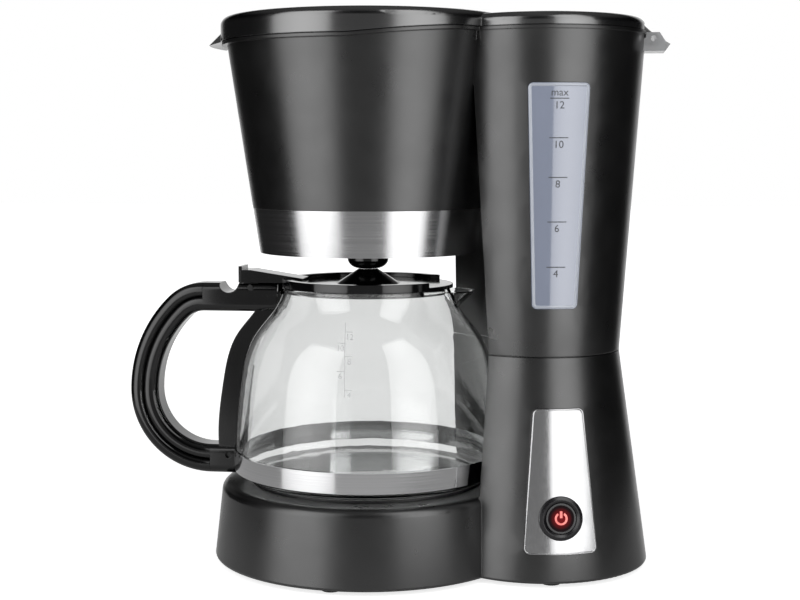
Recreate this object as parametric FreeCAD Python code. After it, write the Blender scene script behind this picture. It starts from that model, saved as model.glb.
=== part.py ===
import FreeCAD, Part
import math
import os

# Drip coffee maker with a glass jug, in millimetres and degrees.
# The base drum, the jug and the filter head share the brew axis. The water tower stands to its right (+X),
# the jug's handle points left (-X), the gauge and the switch face the front (-Y), and the feet rest on z = 0.

# Walls and clearances
WALL = 2.4
SLIP = 0.3
SNUG = 0.1
RUNNING = 0.05
PAST = 20.0

# Feet, base drum and warming plate
FOOT_H = 2.5
FOOT_R = 5.0
FOOT_STUD_R = 2.0
FOOT_BACK = 12.0
DRUM_H = 42.3
DRUM_BOTTOM_R = 87.4
DRUM_TOP_R = 82.5
DRUM_SHOULDER_R = 5.0
BOTTOM_EDGE_R = 1.4
DECK_T = 4.0
LEDGE_DEPTH = 2.0
LEDGE_W = 6.0
SEAL_T = 0.8
PLATE_R = 66.0
PLATE_T = 2.4
DRUM_TOP_Z = FOOT_H + DRUM_H
PLATE_BOTTOM_Z = DRUM_TOP_Z - LEDGE_DEPTH + SEAL_T
PLATE_TOP_Z = PLATE_BOTTOM_Z + PLATE_T

# Jug: outer radii, and heights above its foot
JUG_FOOT_R = 66.0
JUG_HEEL_R, JUG_HEEL_H = 73.2, 5.0
JUG_BELLY_R, JUG_BELLY_H = 75.0, 18.5
JUG_SIDE_R, JUG_SIDE_H = 72.0, 52.5
JUG_SHOULDER_R, JUG_SHOULDER_H = 63.8, 80.0
JUG_NECK_R, JUG_NECK_H = 49.6, 99.5
JUG_RIM_R, JUG_H = 47.5, 106.0
GLASS_T = 2.0
BEAD_R = 1.6
SPOUT_REACH = 61.0
SPOUT_R = 17.0
SPOUT_ROOT_R = 5.0
SPOUT_DEPTH = 16.0
JUG_FOOT_Z = PLATE_TOP_Z + SLIP
JUG_RIM_Z = JUG_FOOT_Z + JUG_H

# Steel strap round the jug
STRAP_T = 0.8
STRAP_LIFT = 5.2
STRAP_H = 11.0
STRAP_EAR_GAP = 5.0
STRAP_EAR_L = 9.0
STRAP_R = JUG_BELLY_R + SLIP

# Jug handle: a D grip of three arcs, with a cover over its outer lobe
GRIP_REACH = 137.3
GRIP_MID_H = 47.0
GRIP_LOWER_R = 47.0
GRIP_UPPER_R = 75.0
GRIP_TOP_R = 30.0
GRIP_T = 16.2
GRIP_HALF_W = 10.0
GRIP_EDGE_R = 4.5
GROOVE_EDGE_R = 3.0
COVER_T = 7.8
HANDLE_RISE = 3.4
HANDLE_NOSE_X = 50.5
SPINE_T = 11.0
SPINE_HALF_W = 8.0
THUMB_NOTCH_R = 5.5
GRIP_MID_Z = JUG_FOOT_Z + GRIP_MID_H
HANDLE_TOP_Z = JUG_RIM_Z + HANDLE_RISE

# Jug lid
JUG_LID_R = 48.0
JUG_LID_T = 2.0
JUG_LID_RIM_T = 4.0
JUG_LID_RIM_H = 4.6
JUG_LID_GAP_DEG = 38.0
JUG_PLUG_T = 1.6
JUG_PLUG_H = 3.0
CONE_R = 18.0
CONE_TIP_R = 5.3
CONE_BORE_R = 2.6
JUG_PIN_X = -66.0
JUG_PIN_R = 1.6
JUG_PIN_DROP = 2.3
TONGUE_HALF_W = 6.8
TONGUE_R = 4.0
BRIDGE_HALF_W = 9.0
BRIDGE_END_X = -36.0
BRIDGE_RISE = 7.2
LEVER_X = -72.0
LEVER_T = 2.0
LEVER_RISE = 9.5
LEVER_HALF_W = 8.0

# Filter head above the jug
HEAD_GAP = 21.5
HEAD_BOTTOM_R = 60.6
HEAD_TOP_R = 77.9
HEAD_H = 115.6
HEAD_FLOOR = 3.0
HEAD_OUTLET_R = 13.0
BAND_H = 24.7
BAND_T = 0.8
HEAD_BOTTOM_Z = JUG_RIM_Z + HEAD_GAP
RIM_Z = HEAD_BOTTOM_Z + HEAD_H

# Water tower: upright, with its radius at the foot, waist and top
TOWER_X = 96.8
TOWER_FOOT_R = 61.0
TOWER_WAIST_R = 44.0
TOWER_TOP_R = 55.7
COLUMN_H = 118.0
SEAM_GAP = 0.6
SEAM_DEPTH = 1.2
FLOOR_T = 2.5
RECESS_BOTTOM_R = 81.0
RECESS_TOP_R = 74.8
RECESS_TOP_DROP = 25.0
RECESS_TOP_Z = RIM_Z - RECESS_TOP_DROP
WING_T = 5.0
WING_DEG = 55.4
WING_LIFT = 8.0
WAIST_Z = FOOT_H + COLUMN_H

# Rim of the housing: low round the head, a ramp, then high round the tower
RIM_STEP = 4.8
RAMP_START_X = 0.0
RAMP_END_X = 55.0
FLANGE_T = 1.8
FLANGE_HEAD_OUT = 2.7
FLANGE_TOWER_OUT = 0.9
FLANGE_HEAD_R = HEAD_TOP_R + FLANGE_HEAD_OUT
FLANGE_TOWER_R = TOWER_TOP_R + FLANGE_TOWER_OUT
TOWER_RIM_Z = RIM_Z + RIM_STEP

# Top lid
LID_HEAD_OUT = 3.3
LID_TOWER_OUT = 0.1
LID_HEAD_R = HEAD_TOP_R + LID_HEAD_OUT
LID_TOWER_R = TOWER_TOP_R + LID_TOWER_OUT
LID_H = 13.4
LID_TOWER_DROP = 1.4
LID_EDGE_R = 4.5
LID_WALL = 2.2
LID_TOP_T = 2.6
TAB_REACH = 6.3
TAB_DROP = 1.6
TAB_HALF_DEG = 13.0
LID_TOP_Z = RIM_Z + LID_H
LID_UNDER_Z = LID_TOP_Z - LID_TOWER_DROP - LID_TOP_T

# Lid hinge at the tower's far side
HINGE_OUT = 4.0
HINGE_DROP = 4.0
HINGE_PIN_R = 1.5
ARM_HALF_W = 5.7
ARM_R = 3.2
LUG_T = 3.8
LUG_R = 6.4
LUG_RISE = 3.3
LUG_LIP = 9.0
LUG_FLOOR_T = 3.2
LUG_TIP_DROP = 3.0
HINGE_X = TOWER_X + LID_TOWER_R + HINGE_OUT
HINGE_Z = TOWER_RIM_Z - HINGE_DROP
LUG_HALF_W = ARM_HALF_W + SLIP + LUG_T

# Water tank
TANK_LIFT = 21.0
TANK_WALL = 1.8
TANK_TOP_DROP = 6.0
TUBE_R = 4.25
TUBE_BORE_R = 3.0
PORT_X = 100.0
PORT_Y = 28.0
NOZZLE_L = 13.0
RISER_BOSS_R = 6.5
RISER_BOSS_H = 8.0
RISER_GAP = 0.8
TANK_FLOOR_Z = WAIST_Z + TANK_LIFT

# Spreader tray under the lid
TRAY_R = 30.0
TRAY_INLET_R = 10.0
TRAY_T = 1.6
TRAY_GAP = 0.6
TRAY_HOLE_R = 1.5
TRAY_HOLES = 8
TRAY_HOLE_RING_R = 20.0

# Filter basket and drip valve
BASKET_CLEAR = 1.0
BASKET_WALL = 1.6
BASKET_FLOOR = 2.0
BASKET_DROP = 20.0
BASKET_HOLE_R = 5.0
SPOUT_TUBE_R = 9.5
SPOUT_TUBE_BORE_R = 7.8
VALVE_R = 11.5
VALVE_TIP_R = 5.3
VALVE_REACH = 9.4
VALVE_BOWL_H = 4.4
VALVE_BELLY_R = 9.8
VALVE_BELLY_H = 1.85
VALVE_RIM_H = 3.2
VALVE_STEM_R = 2.6
VALVE_LIFT = 3.0
VALVE_SEAL_R = 7.5
VALVE_SEAL_T = 2.0
VALVE_CAP_H = 2.0
SPRING_R = 6.0
SPRING_WIRE = 1.0
VALVE_TIP_Z = HEAD_BOTTOM_Z - VALVE_REACH
VALVE_TOP_Z = VALVE_TIP_Z + VALVE_BOWL_H + VALVE_RIM_H
BASKET_Z = HEAD_BOTTOM_Z + HEAD_FLOOR
SEAL_Z = BASKET_Z + BASKET_FLOOR + VALVE_LIFT

# Gauge window and control plate, as trapezoids turned round the tower from its front, in degrees
GAUGE_TURN = 11.4
GAUGE_LIFT = 26.4
GAUGE_H = 118.0
GAUGE_BOTTOM_HALF_W = 12.0
GAUGE_TOP_HALF_W = 16.3
GAUGE_PROUD = 0.4
GAUGE_CORNER_R = 2.6
GAUGE_BOTTOM_Z = WAIST_Z + GAUGE_LIFT
GAUGE_TOP_Z = GAUGE_BOTTOM_Z + GAUGE_H
PANEL_TURN = 13.9
PANEL_LIFT = 15.6
PANEL_H = 75.7
PANEL_BOTTOM_HALF_W = 19.8
PANEL_TOP_HALF_W = 13.6
PANEL_T = 1.0
PANEL_SUNK = 0.6
PANEL_CORNER_R = 3.0
PANEL_BOTTOM_Z = FOOT_H + PANEL_LIFT
PANEL_TOP_Z = PANEL_BOTTOM_Z + PANEL_H

# Round switch, measured outward along its axis from the housing surface
SWITCH_RISE = 18.7
BEZEL_R = 11.7
BEZEL_PROUD = 1.7
BEZEL_SUNK = 1.7
BARREL_R = 9.8
BARREL_BORE_R = 8.4
BARREL_L = 10.5
BUTTON_R = 8.1
BUTTON_PROUD = 1.1
BUTTON_L = 6.0
BUTTON_TRAVEL = 2.5
LENS_R = 6.9
LENS_T = 1.6
SWITCH_BACK_T = 4.0
SWITCH_SPRING_R = 4.0
TERMINAL_W, TERMINAL_T, TERMINAL_L = 4.8, 0.8, 4.0
SWITCH_Z = PANEL_BOTTOM_Z + SWITCH_RISE

# Heater under the warming plate
HEATER_R = PORT_Y
HEATER_W = 11.0
HEATER_H = 16.0
HEATER_LEG = 38.0
STUB_L = 13.0
STUB_LIFT = 5.0
CLAMP_X = 3.0
CLAMP_W = 10.0
CLAMP_T = 2.5
CLAMP_HALF_L = 38.0
CLAMP_SCREW_Y = 14.0
THERMOSTAT_X, THERMOSTAT_R, THERMOSTAT_H = -12.5, 9.0, 8.0
FUSE_X, FUSE_R, FUSE_HALF_L = 18.0, 2.2, 9.0
HEATER_Z = PLATE_BOTTOM_Z - HEATER_H
STUB_Z = HEATER_Z + STUB_LIFT

# Hoses and their clips
HOSE_WALL = 2.0
HOSE_BEND_R = 20.0
HOSE_OVERLAP = 10.0
CLIP_T = 1.0
CLIP_W = 5.0
HOSE_BORE_R = TUBE_R + RUNNING
HOSE_R = HOSE_BORE_R + HOSE_WALL

# Bottom cover, screws and cord gland
COVER_PLATE_T = 2.0
VENT_W, VENT_L, VENT_STEP, VENT_COUNT = 3.0, 26.0, 8.0, 5
SCREW_R = 1.5
SCREW_HEAD_R = 3.0
SCREW_HEAD_H = 1.6
SCREW_L = 12.0
BOSS_R = 4.5
COVER_BOSS_H = 24.0
DRUM_BOSS_DEG = 122.0
TOWER_BOSS_DEG = 30.0
BOSS_BACK = 2.8
WAIST_BOSS_OUT_DEG = 50.0
WAIST_BOSS_IN_DEG = 15.0
DRUM_FOOT_DEG = 97.0
TOWER_FOOT_DEG = 80.0
GLAND_TURN = 180.0
GLAND_H = 24.0
GLAND_R = 6.0
GLAND_FLANGE_R = 8.5
GLAND_FLANGE_T = 2.0
GLAND_BORE_R = 3.6
COVER_TOP_Z = FOOT_H + COVER_PLATE_T
GLAND_Z = FOOT_H + GLAND_H

# The whole part is centred on its box: from the grip's far side to the hinge lip
LUG_REACH = HINGE_X + LUG_LIP
BREW_X = (GRIP_REACH - LUG_REACH) / 2


def vec(x, y, z):
    return FreeCAD.Vector(x, y, z)


def disc(r, z0, z1, x=0.0, y=0.0):
    return Part.makeCylinder(r, z1 - z0, vec(x, y, z0))


def ring(r_out, r_in, z0, z1, x=0.0, y=0.0):
    return disc(r_out, z0, z1, x, y).cut(disc(r_in, z0, z1, x, y))


def cone(r0, z0, r1, z1, x=0.0):
    return Part.makeCone(r0, r1, z1 - z0, vec(x, 0, z0))


def block(x0, x1, y0, y1, z0, z1):
    return Part.makeBox(x1 - x0, y1 - y0, z1 - z0, vec(x0, y0, z0))


def bar_y(r, half_l, x, z):
    return Part.makeCylinder(r, 2 * half_l, vec(x, -half_l, z), vec(0, 1, 0))


def slab(points, half_w):
    """Prism across Y of a closed outline given as (x, z) points."""
    corners = [vec(x, -half_w, z) for x, z in points]
    face = Part.Face(Part.makePolygon(corners + corners[:1]))
    return face.extrude(vec(0, 2 * half_w, 0))


def turned(edges):
    """Solid of revolution about Z of a closed outline in the XZ plane."""
    face = Part.Face(Part.Wire(edges))
    return face.revolve(vec(0, 0, 0), vec(0, 0, 1), 360)


def polyline(points):
    """Edges of an open outline of (r, z) points in the XZ plane."""
    corners = [vec(r, 0, z) for r, z in points]
    return [Part.LineSegment(a, b).toShape() for a, b in zip(corners, corners[1:])]


def fuse_all(shapes):
    return shapes[0].multiFuse(shapes[1:]).removeSplitter()


def mirrored_y(shape):
    return shape.mirror(vec(0, 0, 0), vec(0, 1, 0))


def between(a, b, t):
    return a + (b - a) * t


def slanted(x0, r0, z0, x1, r1, z1):
    """Slanted cone between two level circles: an upright cone sheared along X."""
    shear = FreeCAD.Matrix()
    shear.A13 = (x1 - x0) / (z1 - z0)
    shear.A14 = x0
    shear.A34 = z0
    return Part.makeCone(r0, r1, z1 - z0).transformGeometry(shear)


def tower_r(z):
    """Radius of the tower's outer surface at a height."""
    if z <= WAIST_Z:
        return between(TOWER_FOOT_R, TOWER_WAIST_R, (z - FOOT_H) / COLUMN_H)
    return between(TOWER_WAIST_R, TOWER_TOP_R, (z - WAIST_Z) / (RIM_Z - WAIST_Z))


def tower(inset, z0, z1):
    """Tower, drawn in by inset, between two heights on one side of the waist."""
    return cone(tower_r(z0) - inset, z0, tower_r(z1) - inset, z1, TOWER_X)


def recess(grow, z0, z1):
    """Hollow in the tower that the jug stands in, grown by grow."""
    span = RECESS_TOP_Z - DRUM_TOP_Z
    r0 = between(RECESS_BOTTOM_R, RECESS_TOP_R, (z0 - DRUM_TOP_Z) / span)
    r1 = between(RECESS_BOTTOM_R, RECESS_TOP_R, (z1 - DRUM_TOP_Z) / span)
    return cone(r0 + grow, z0, r1 + grow, z1)


def wing(z0, z1):
    """Wall round the back of the jug's hollow, from the tower to the wing's free edge."""
    far = 2 * DRUM_BOTTOM_R
    a = math.radians(WING_DEG)
    corners = [vec(0, 0, z0), vec(far, 0, z0), vec(far * math.cos(a), far * math.sin(a), z0)]
    sector = Part.Face(Part.makePolygon(corners + corners[:1])).extrude(vec(0, 0, z1 - z0))
    wall = recess(WING_T, z0, z1).cut(recess(0, max(z0, DRUM_TOP_Z), z1))
    return wall.common(sector)


def head(inset, z0, z1):
    """Filter head's cone, drawn in by inset."""
    r0 = between(HEAD_BOTTOM_R, HEAD_TOP_R, (z0 - HEAD_BOTTOM_Z) / HEAD_H)
    r1 = between(HEAD_BOTTOM_R, HEAD_TOP_R, (z1 - HEAD_BOTTOM_Z) / HEAD_H)
    return cone(r0 - inset, z0, r1 - inset, z1)


def below_rim(offset):
    """Everything below the housing's rim line, raised by offset."""
    far = GRIP_REACH + LUG_REACH
    low = RIM_Z + offset
    high = TOWER_RIM_Z + offset
    line = [(-far, 0), (far, 0), (far, high), (RAMP_END_X, high), (RAMP_START_X, low), (-far, low)]
    return slab(line, DRUM_BOTTOM_R + PAST)


def lobes(r_head, r_tower, z0, z1):
    return disc(r_head, z0, z1).fuse(disc(r_tower, z0, z1, TOWER_X))


def trapezoid(turn, z0, half0, z1, half1, corner_r):
    """Rounded trapezoid that reaches from the tower's middle out through its wall, turned from the front."""
    outline = [(-half0, z0), (half0, z0), (half1, z1), (-half1, z1)]
    corners = [vec(TOWER_X + px, -TOWER_FOOT_R - PAST, pz) for px, pz in outline]
    face = Part.Face(Part.makePolygon(corners + corners[:1]))
    prism = face.extrude(vec(0, TOWER_FOOT_R + PAST, 0))
    upright = [e for e in prism.Edges if abs(e.tangentAt(e.FirstParameter).y) > 0.99]
    form = prism.makeFillet(corner_r, upright)
    form.rotate(vec(TOWER_X, 0, 0), vec(0, 0, 1), turn)
    return form


def surface_place(turn, z):
    """Placement on the lower column, turned from the front, with local +Z along the outward normal."""
    a = math.radians(turn)
    r = tower_r(z)
    point = vec(TOWER_X + r * math.sin(a), -r * math.cos(a), z)
    lean = (TOWER_FOOT_R - TOWER_WAIST_R) / COLUMN_H
    normal = vec(math.sin(a), -math.cos(a), lean)
    return FreeCAD.Placement(point, FreeCAD.Rotation(vec(0, 0, 1), normal.normalize()))


def put(shape, place):
    moved = shape.copy()
    moved.Placement = place.multiply(shape.Placement)
    return moved


SWITCH_PLACE = surface_place(PANEL_TURN, SWITCH_Z)
GLAND_PLACE = surface_place(GLAND_TURN, GLAND_Z)


def cover_boss_spots():
    """Places of the bottom cover's screws: two in the drum and two at the tower's wall."""
    drum_r = DRUM_TOP_R - WALL - 2 * BOSS_R
    column_r = tower_r(COVER_TOP_Z + COVER_BOSS_H) - WALL - BOSS_BACK
    drum = math.radians(DRUM_BOSS_DEG)
    turn = math.radians(TOWER_BOSS_DEG)
    drum_spot = (drum_r * math.cos(drum), drum_r * math.sin(drum))
    tower_spot = (TOWER_X + column_r * math.cos(turn), column_r * math.sin(turn))
    return [(x, side * y) for x, y in (drum_spot, tower_spot) for side in (-1, 1)]


def housing_boss_spots():
    """Places of the screws that join the two housings at the waist."""
    outer_r = TOWER_WAIST_R - WALL - BOSS_BACK
    outer_turn = math.radians(WAIST_BOSS_OUT_DEG)
    outer = (TOWER_X + outer_r * math.cos(outer_turn), outer_r * math.sin(outer_turn))
    inner_r = RECESS_BOTTOM_R + BOSS_R
    inner_turn = math.radians(WAIST_BOSS_IN_DEG)
    inner = (inner_r * math.cos(inner_turn), inner_r * math.sin(inner_turn))
    return [(x, side * y) for x, y in (outer, inner) for side in (-1, 1)]


def foot_spots():
    """Places of the four feet, set back from the drum's and the tower's edges."""
    drum_r = DRUM_BOTTOM_R - FOOT_BACK
    column_r = TOWER_FOOT_R - FOOT_BACK
    drum = math.radians(DRUM_FOOT_DEG)
    turn = math.radians(TOWER_FOOT_DEG)
    drum_spot = (drum_r * math.cos(drum), drum_r * math.sin(drum))
    tower_spot = (TOWER_X + column_r * math.cos(turn), column_r * math.sin(turn))
    return [(x, side * y) for x, y in (drum_spot, tower_spot) for side in (-1, 1)]


def drum():
    body = cone(DRUM_BOTTOM_R, FOOT_H, DRUM_TOP_R, DRUM_TOP_Z)
    top = [e for e in body.Edges if e.BoundBox.ZMin > DRUM_TOP_Z - SNUG]
    return body.makeFillet(DRUM_SHOULDER_R, top)


def lower_housing():
    column = tower(0, FOOT_H, WAIST_Z).cut(recess(0, DRUM_TOP_Z, WAIST_Z))
    shell = fuse_all([drum(), column])
    bottom = [e for e in shell.Edges if e.BoundBox.ZMax < FOOT_H + SNUG]
    shell = shell.makeFillet(BOTTOM_EDGE_R, bottom)
    shell = fuse_all([shell, wing(FOOT_H + WING_LIFT, WAIST_Z)])
    floor_z = WAIST_Z - FLOOR_T
    lip_cut = recess(SEAM_DEPTH, DRUM_TOP_Z, WAIST_Z + SEAM_GAP)
    lip = disc(TOWER_WAIST_R - SEAM_DEPTH, floor_z, WAIST_Z + SEAM_GAP, TOWER_X).cut(lip_cut)
    shell = fuse_all([shell, lip])
    drum_space = cone(DRUM_BOTTOM_R - WALL, FOOT_H, DRUM_TOP_R - WALL, DRUM_TOP_Z - DECK_T)
    column_space = tower(WALL, FOOT_H, floor_z).cut(recess(WALL, DRUM_TOP_Z - DECK_T, floor_z))
    shell = shell.cut(drum_space).cut(column_space)
    bosses = [disc(BOSS_R, COVER_TOP_Z, COVER_TOP_Z + COVER_BOSS_H if bx > 0 else DRUM_TOP_Z - DECK_T, bx, by)
              for bx, by in cover_boss_spots()]
    shell = fuse_all([shell] + bosses)
    pilots = [disc(SCREW_R + RUNNING, COVER_TOP_Z, COVER_TOP_Z + SCREW_L, bx, by)
              for bx, by in cover_boss_spots()]
    screw_holes = [disc(SCREW_R + SLIP, floor_z, WAIST_Z + SEAM_GAP, x, y) for x, y in housing_boss_spots()]
    hose_holes = [disc(HOSE_R + SLIP, floor_z, WAIST_Z + SEAM_GAP, PORT_X, y) for y in (-PORT_Y, PORT_Y)]
    ledge_r = PLATE_R + SLIP
    plate_holes = [disc(ledge_r, DRUM_TOP_Z - LEDGE_DEPTH, DRUM_TOP_Z),
                   disc(ledge_r - LEDGE_W, DRUM_TOP_Z - DECK_T, DRUM_TOP_Z)]
    gland_hole = put(disc(GLAND_R + SNUG, -PAST, PAST), GLAND_PLACE)
    switch_hole = put(disc(BARREL_R + SNUG, -PAST, PAST), SWITCH_PLACE)
    bezel_seat = put(disc(BEZEL_R + SNUG, -BEZEL_SUNK, PAST), SWITCH_PLACE)
    return shell.cut(pilots + screw_holes + hose_holes + plate_holes
                     + [panel_seat(), gland_hole, switch_hole, bezel_seat])


def panel_form(grow):
    return trapezoid(PANEL_TURN, PANEL_BOTTOM_Z - grow, PANEL_BOTTOM_HALF_W + grow,
                     PANEL_TOP_Z + grow, PANEL_TOP_HALF_W + grow, PANEL_CORNER_R)


def panel_seat():
    return panel_form(SNUG).cut(tower(PANEL_SUNK, FOOT_H, WAIST_Z))


def control_plate():
    skin = tower(PANEL_SUNK - PANEL_T, FOOT_H, WAIST_Z).cut(tower(PANEL_SUNK, FOOT_H, WAIST_Z))
    hole = put(disc(BEZEL_R + SNUG, -PAST, PAST), SWITCH_PLACE)
    return panel_form(0).common(skin).cut(hole)


def bottom_cover():
    drum_r = DRUM_BOTTOM_R - WALL - SLIP
    column_r = TOWER_FOOT_R - WALL - SLIP
    plate = disc(drum_r, FOOT_H, COVER_TOP_Z).fuse(disc(column_r, FOOT_H, COVER_TOP_Z, TOWER_X))
    inside = cone(DRUM_BOTTOM_R - WALL - SLIP, FOOT_H, DRUM_TOP_R - WALL - SLIP, DRUM_TOP_Z)
    column = tower(WALL + SLIP, FOOT_H, WAIST_Z)
    plate = plate.common(inside.fuse(column)).removeSplitter()
    screws = [disc(SCREW_R + SLIP, FOOT_H, COVER_TOP_Z, x, y) for x, y in cover_boss_spots()]
    sinks = [disc(SCREW_HEAD_R + SLIP, FOOT_H, FOOT_H + SCREW_HEAD_H, x, y) for x, y in cover_boss_spots()]
    studs = [disc(FOOT_STUD_R + RUNNING, FOOT_H, COVER_TOP_Z, x, y) for x, y in foot_spots()]
    first = -(VENT_COUNT - 1) / 2
    vents = [block((first + i) * VENT_STEP - VENT_W / 2, (first + i) * VENT_STEP + VENT_W / 2,
                   -VENT_L / 2, VENT_L / 2, FOOT_H, COVER_TOP_Z) for i in range(VENT_COUNT)]
    return plate.cut(screws + sinks + studs + vents)


def rubber_feet():
    feet = []
    for x, y in foot_spots():
        pad = disc(FOOT_R, 0, FOOT_H, x, y)
        stud = disc(FOOT_STUD_R, FOOT_H, COVER_TOP_Z, x, y)
        feet.append(pad.fuse(stud).removeSplitter())
    return Part.makeCompound(feet)


def screw(x, y, head_z):
    """Screw that points up, with its head's underside at head_z plus the head's height."""
    top = disc(SCREW_HEAD_R, head_z, head_z + SCREW_HEAD_H, x, y)
    shank = disc(SCREW_R, head_z + SCREW_HEAD_H, head_z + SCREW_L, x, y)
    return top.fuse(shank).removeSplitter()


def cover_screws():
    return Part.makeCompound([screw(x, y, FOOT_H) for x, y in cover_boss_spots()])


def housing_screws():
    head_z = WAIST_Z - FLOOR_T - SCREW_HEAD_H
    return Part.makeCompound([screw(x, y, head_z) for x, y in housing_boss_spots()])


def tank_space(inset):
    """Room for the tank inside the tower, behind the recess and outside the filter head."""
    room = tower(WALL + inset, WAIST_Z, TOWER_RIM_Z + PAST)
    room = room.cut(recess(WALL + inset, WAIST_Z, RECESS_TOP_Z + WALL + inset))
    return room.cut(head(-inset, HEAD_BOTTOM_Z, TOWER_RIM_Z + PAST))


def upper_shell():
    """Filter head and tower shell in one, before they part along the head's outside."""
    top_z = TOWER_RIM_Z + PAST
    band_z = HEAD_BOTTOM_Z + BAND_H
    column = tower(0, WAIST_Z, top_z).cut(recess(0, WAIST_Z - PAST, RECESS_TOP_Z))
    column = column.fuse(wing(WAIST_Z, band_z))
    column = column.cut(block(-LUG_REACH, LUG_REACH, -DRUM_BOTTOM_R, DRUM_BOTTOM_R,
                              WAIST_Z - PAST, WAIST_Z + SEAM_GAP))
    cup = head(0, band_z, top_z).fuse(head(BAND_T + SNUG, HEAD_BOTTOM_Z, band_z))
    body = column.fuse(cup).common(below_rim(0))
    rim = lobes(FLANGE_HEAD_R, FLANGE_TOWER_R, RIM_Z - PAST, top_z)
    rim = rim.common(below_rim(0)).cut(below_rim(-FLANGE_T))
    body = fuse_all([body, rim])
    bosses = [disc(BOSS_R, WAIST_Z, TANK_FLOOR_Z, x, y) for x, y in housing_boss_spots()]
    body = body.cut(tank_space(0).cut(bosses)).cut(head(WALL, BASKET_Z, top_z))
    pilots = [disc(SCREW_R + RUNNING, WAIST_Z, WAIST_Z + SCREW_L, x, y) for x, y in housing_boss_spots()]
    outlet = disc(HEAD_OUTLET_R, HEAD_BOTTOM_Z - PAST, BASKET_Z)
    window = gauge_form(SNUG)
    tray_pass = block(TRAY_R, PORT_X, -TRAY_R, PORT_Y + TRAY_INLET_R, RIM_Z - TRAY_GAP, top_z)
    notch_z = HINGE_Z - ARM_R - SLIP - LUG_FLOOR_T
    notch = block(TOWER_X, LUG_REACH, -LUG_HALF_W - SLIP, LUG_HALF_W + SLIP, notch_z - SLIP, top_z)
    return body.cut(pilots + [outlet, window, tray_pass, notch])


def head_zone():
    """The head's cone with the flange round its mouth."""
    top_z = TOWER_RIM_Z + PAST
    return head(0, HEAD_BOTTOM_Z, top_z).fuse(disc(FLANGE_HEAD_R + SNUG, RIM_Z - FLANGE_T, top_z))


def filter_head():
    return upper_shell().common(head_zone())


def upper_housing():
    return upper_shell().cut(head_zone())


def steel_band():
    band_z = HEAD_BOTTOM_Z + BAND_H
    return head(0, HEAD_BOTTOM_Z, band_z).cut(head(BAND_T, HEAD_BOTTOM_Z, band_z))


def gauge_form(grow):
    return trapezoid(GAUGE_TURN, GAUGE_BOTTOM_Z - grow, GAUGE_BOTTOM_HALF_W + grow,
                     GAUGE_TOP_Z + grow, GAUGE_TOP_HALF_W + grow, GAUGE_CORNER_R)


def gauge_window():
    skin = tower(-GAUGE_PROUD, WAIST_Z, RIM_Z).cut(tower(WALL, WAIST_Z, RIM_Z))
    return gauge_form(0).common(skin)


def hinge_lug():
    """One clevis lug with the outward lip at its foot, from the tank's wall to the pin."""
    foot_z = HINGE_Z - ARM_R - SLIP - LUG_FLOOR_T
    inner_x = TOWER_X + TOWER_TOP_R - WALL - SLIP - TANK_WALL
    top_z = HINGE_Z + LUG_RISE
    outer_x = TOWER_X + LID_TOWER_R
    outline = [(inner_x, foot_z), (HINGE_X + LUG_R, foot_z), (LUG_REACH, HINGE_Z - LUG_TIP_DROP),
               (HINGE_X + LUG_R, HINGE_Z - LUG_TIP_DROP / 2), (HINGE_X + ARM_R, top_z), (outer_x, top_z),
               (outer_x, HINGE_Z), (inner_x, HINGE_Z)]
    lug = slab(outline, LUG_T / 2)
    lug.translate(vec(0, LUG_HALF_W - LUG_T / 2, 0))
    return lug


def water_tank():
    outer = tank_space(SLIP).common(below_rim(-TANK_TOP_DROP))
    outer = outer.cut(disc(LUG_REACH, WAIST_Z - PAST, TANK_FLOOR_Z))
    inner = tank_space(SLIP + TANK_WALL).cut(disc(LUG_REACH, WAIST_Z - PAST, TANK_FLOOR_Z + TANK_WALL))
    nozzle = disc(TUBE_R, TANK_FLOOR_Z - NOZZLE_L, TANK_FLOOR_Z + TANK_WALL, PORT_X, -PORT_Y)
    boss = disc(RISER_BOSS_R, TANK_FLOOR_Z, TANK_FLOOR_Z + RISER_BOSS_H, PORT_X, PORT_Y)
    tank = fuse_all([outer.cut(inner), nozzle, boss])
    foot_z = HINGE_Z - ARM_R - SLIP - LUG_FLOOR_T
    inner_x = TOWER_X + TOWER_TOP_R - WALL - SLIP - TANK_WALL
    shelf = block(inner_x, HINGE_X + LUG_R, -LUG_HALF_W, LUG_HALF_W, foot_z, foot_z + LUG_FLOOR_T)
    lug = hinge_lug()
    tank = fuse_all([tank, shelf, lug, mirrored_y(lug)])
    bore = disc(TUBE_BORE_R, WAIST_Z, TANK_FLOOR_Z + RISER_BOSS_H, PORT_X, -PORT_Y)
    riser_hole = disc(TUBE_R + SNUG, WAIST_Z, TANK_FLOOR_Z + RISER_BOSS_H, PORT_X, PORT_Y)
    pin_hole = bar_y(HINGE_PIN_R + RUNNING, DRUM_BOTTOM_R, HINGE_X, HINGE_Z)
    return tank.cut([bore, riser_hole, pin_hole])


def check_valve():
    """Silicone duckbill pressed into the tank's nozzle."""
    top_z = TANK_FLOOR_Z + TANK_WALL
    plug = disc(TUBE_BORE_R - RUNNING, top_z - NOZZLE_L, top_z, PORT_X, -PORT_Y)
    way = disc(TUBE_BORE_R / 2, top_z - NOZZLE_L / 2, top_z, PORT_X, -PORT_Y)
    slit = block(PORT_X - TUBE_BORE_R / 2, PORT_X + TUBE_BORE_R / 2, -PORT_Y - SNUG, -PORT_Y + SNUG,
                 top_z - NOZZLE_L, top_z)
    return plug.cut([way, slit])


def riser_tube():
    top_z = RIM_Z + TRAY_GAP - RISER_GAP
    return ring(TUBE_R, TUBE_BORE_R, TANK_FLOOR_Z - NOZZLE_L, top_z, PORT_X, PORT_Y)


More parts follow.
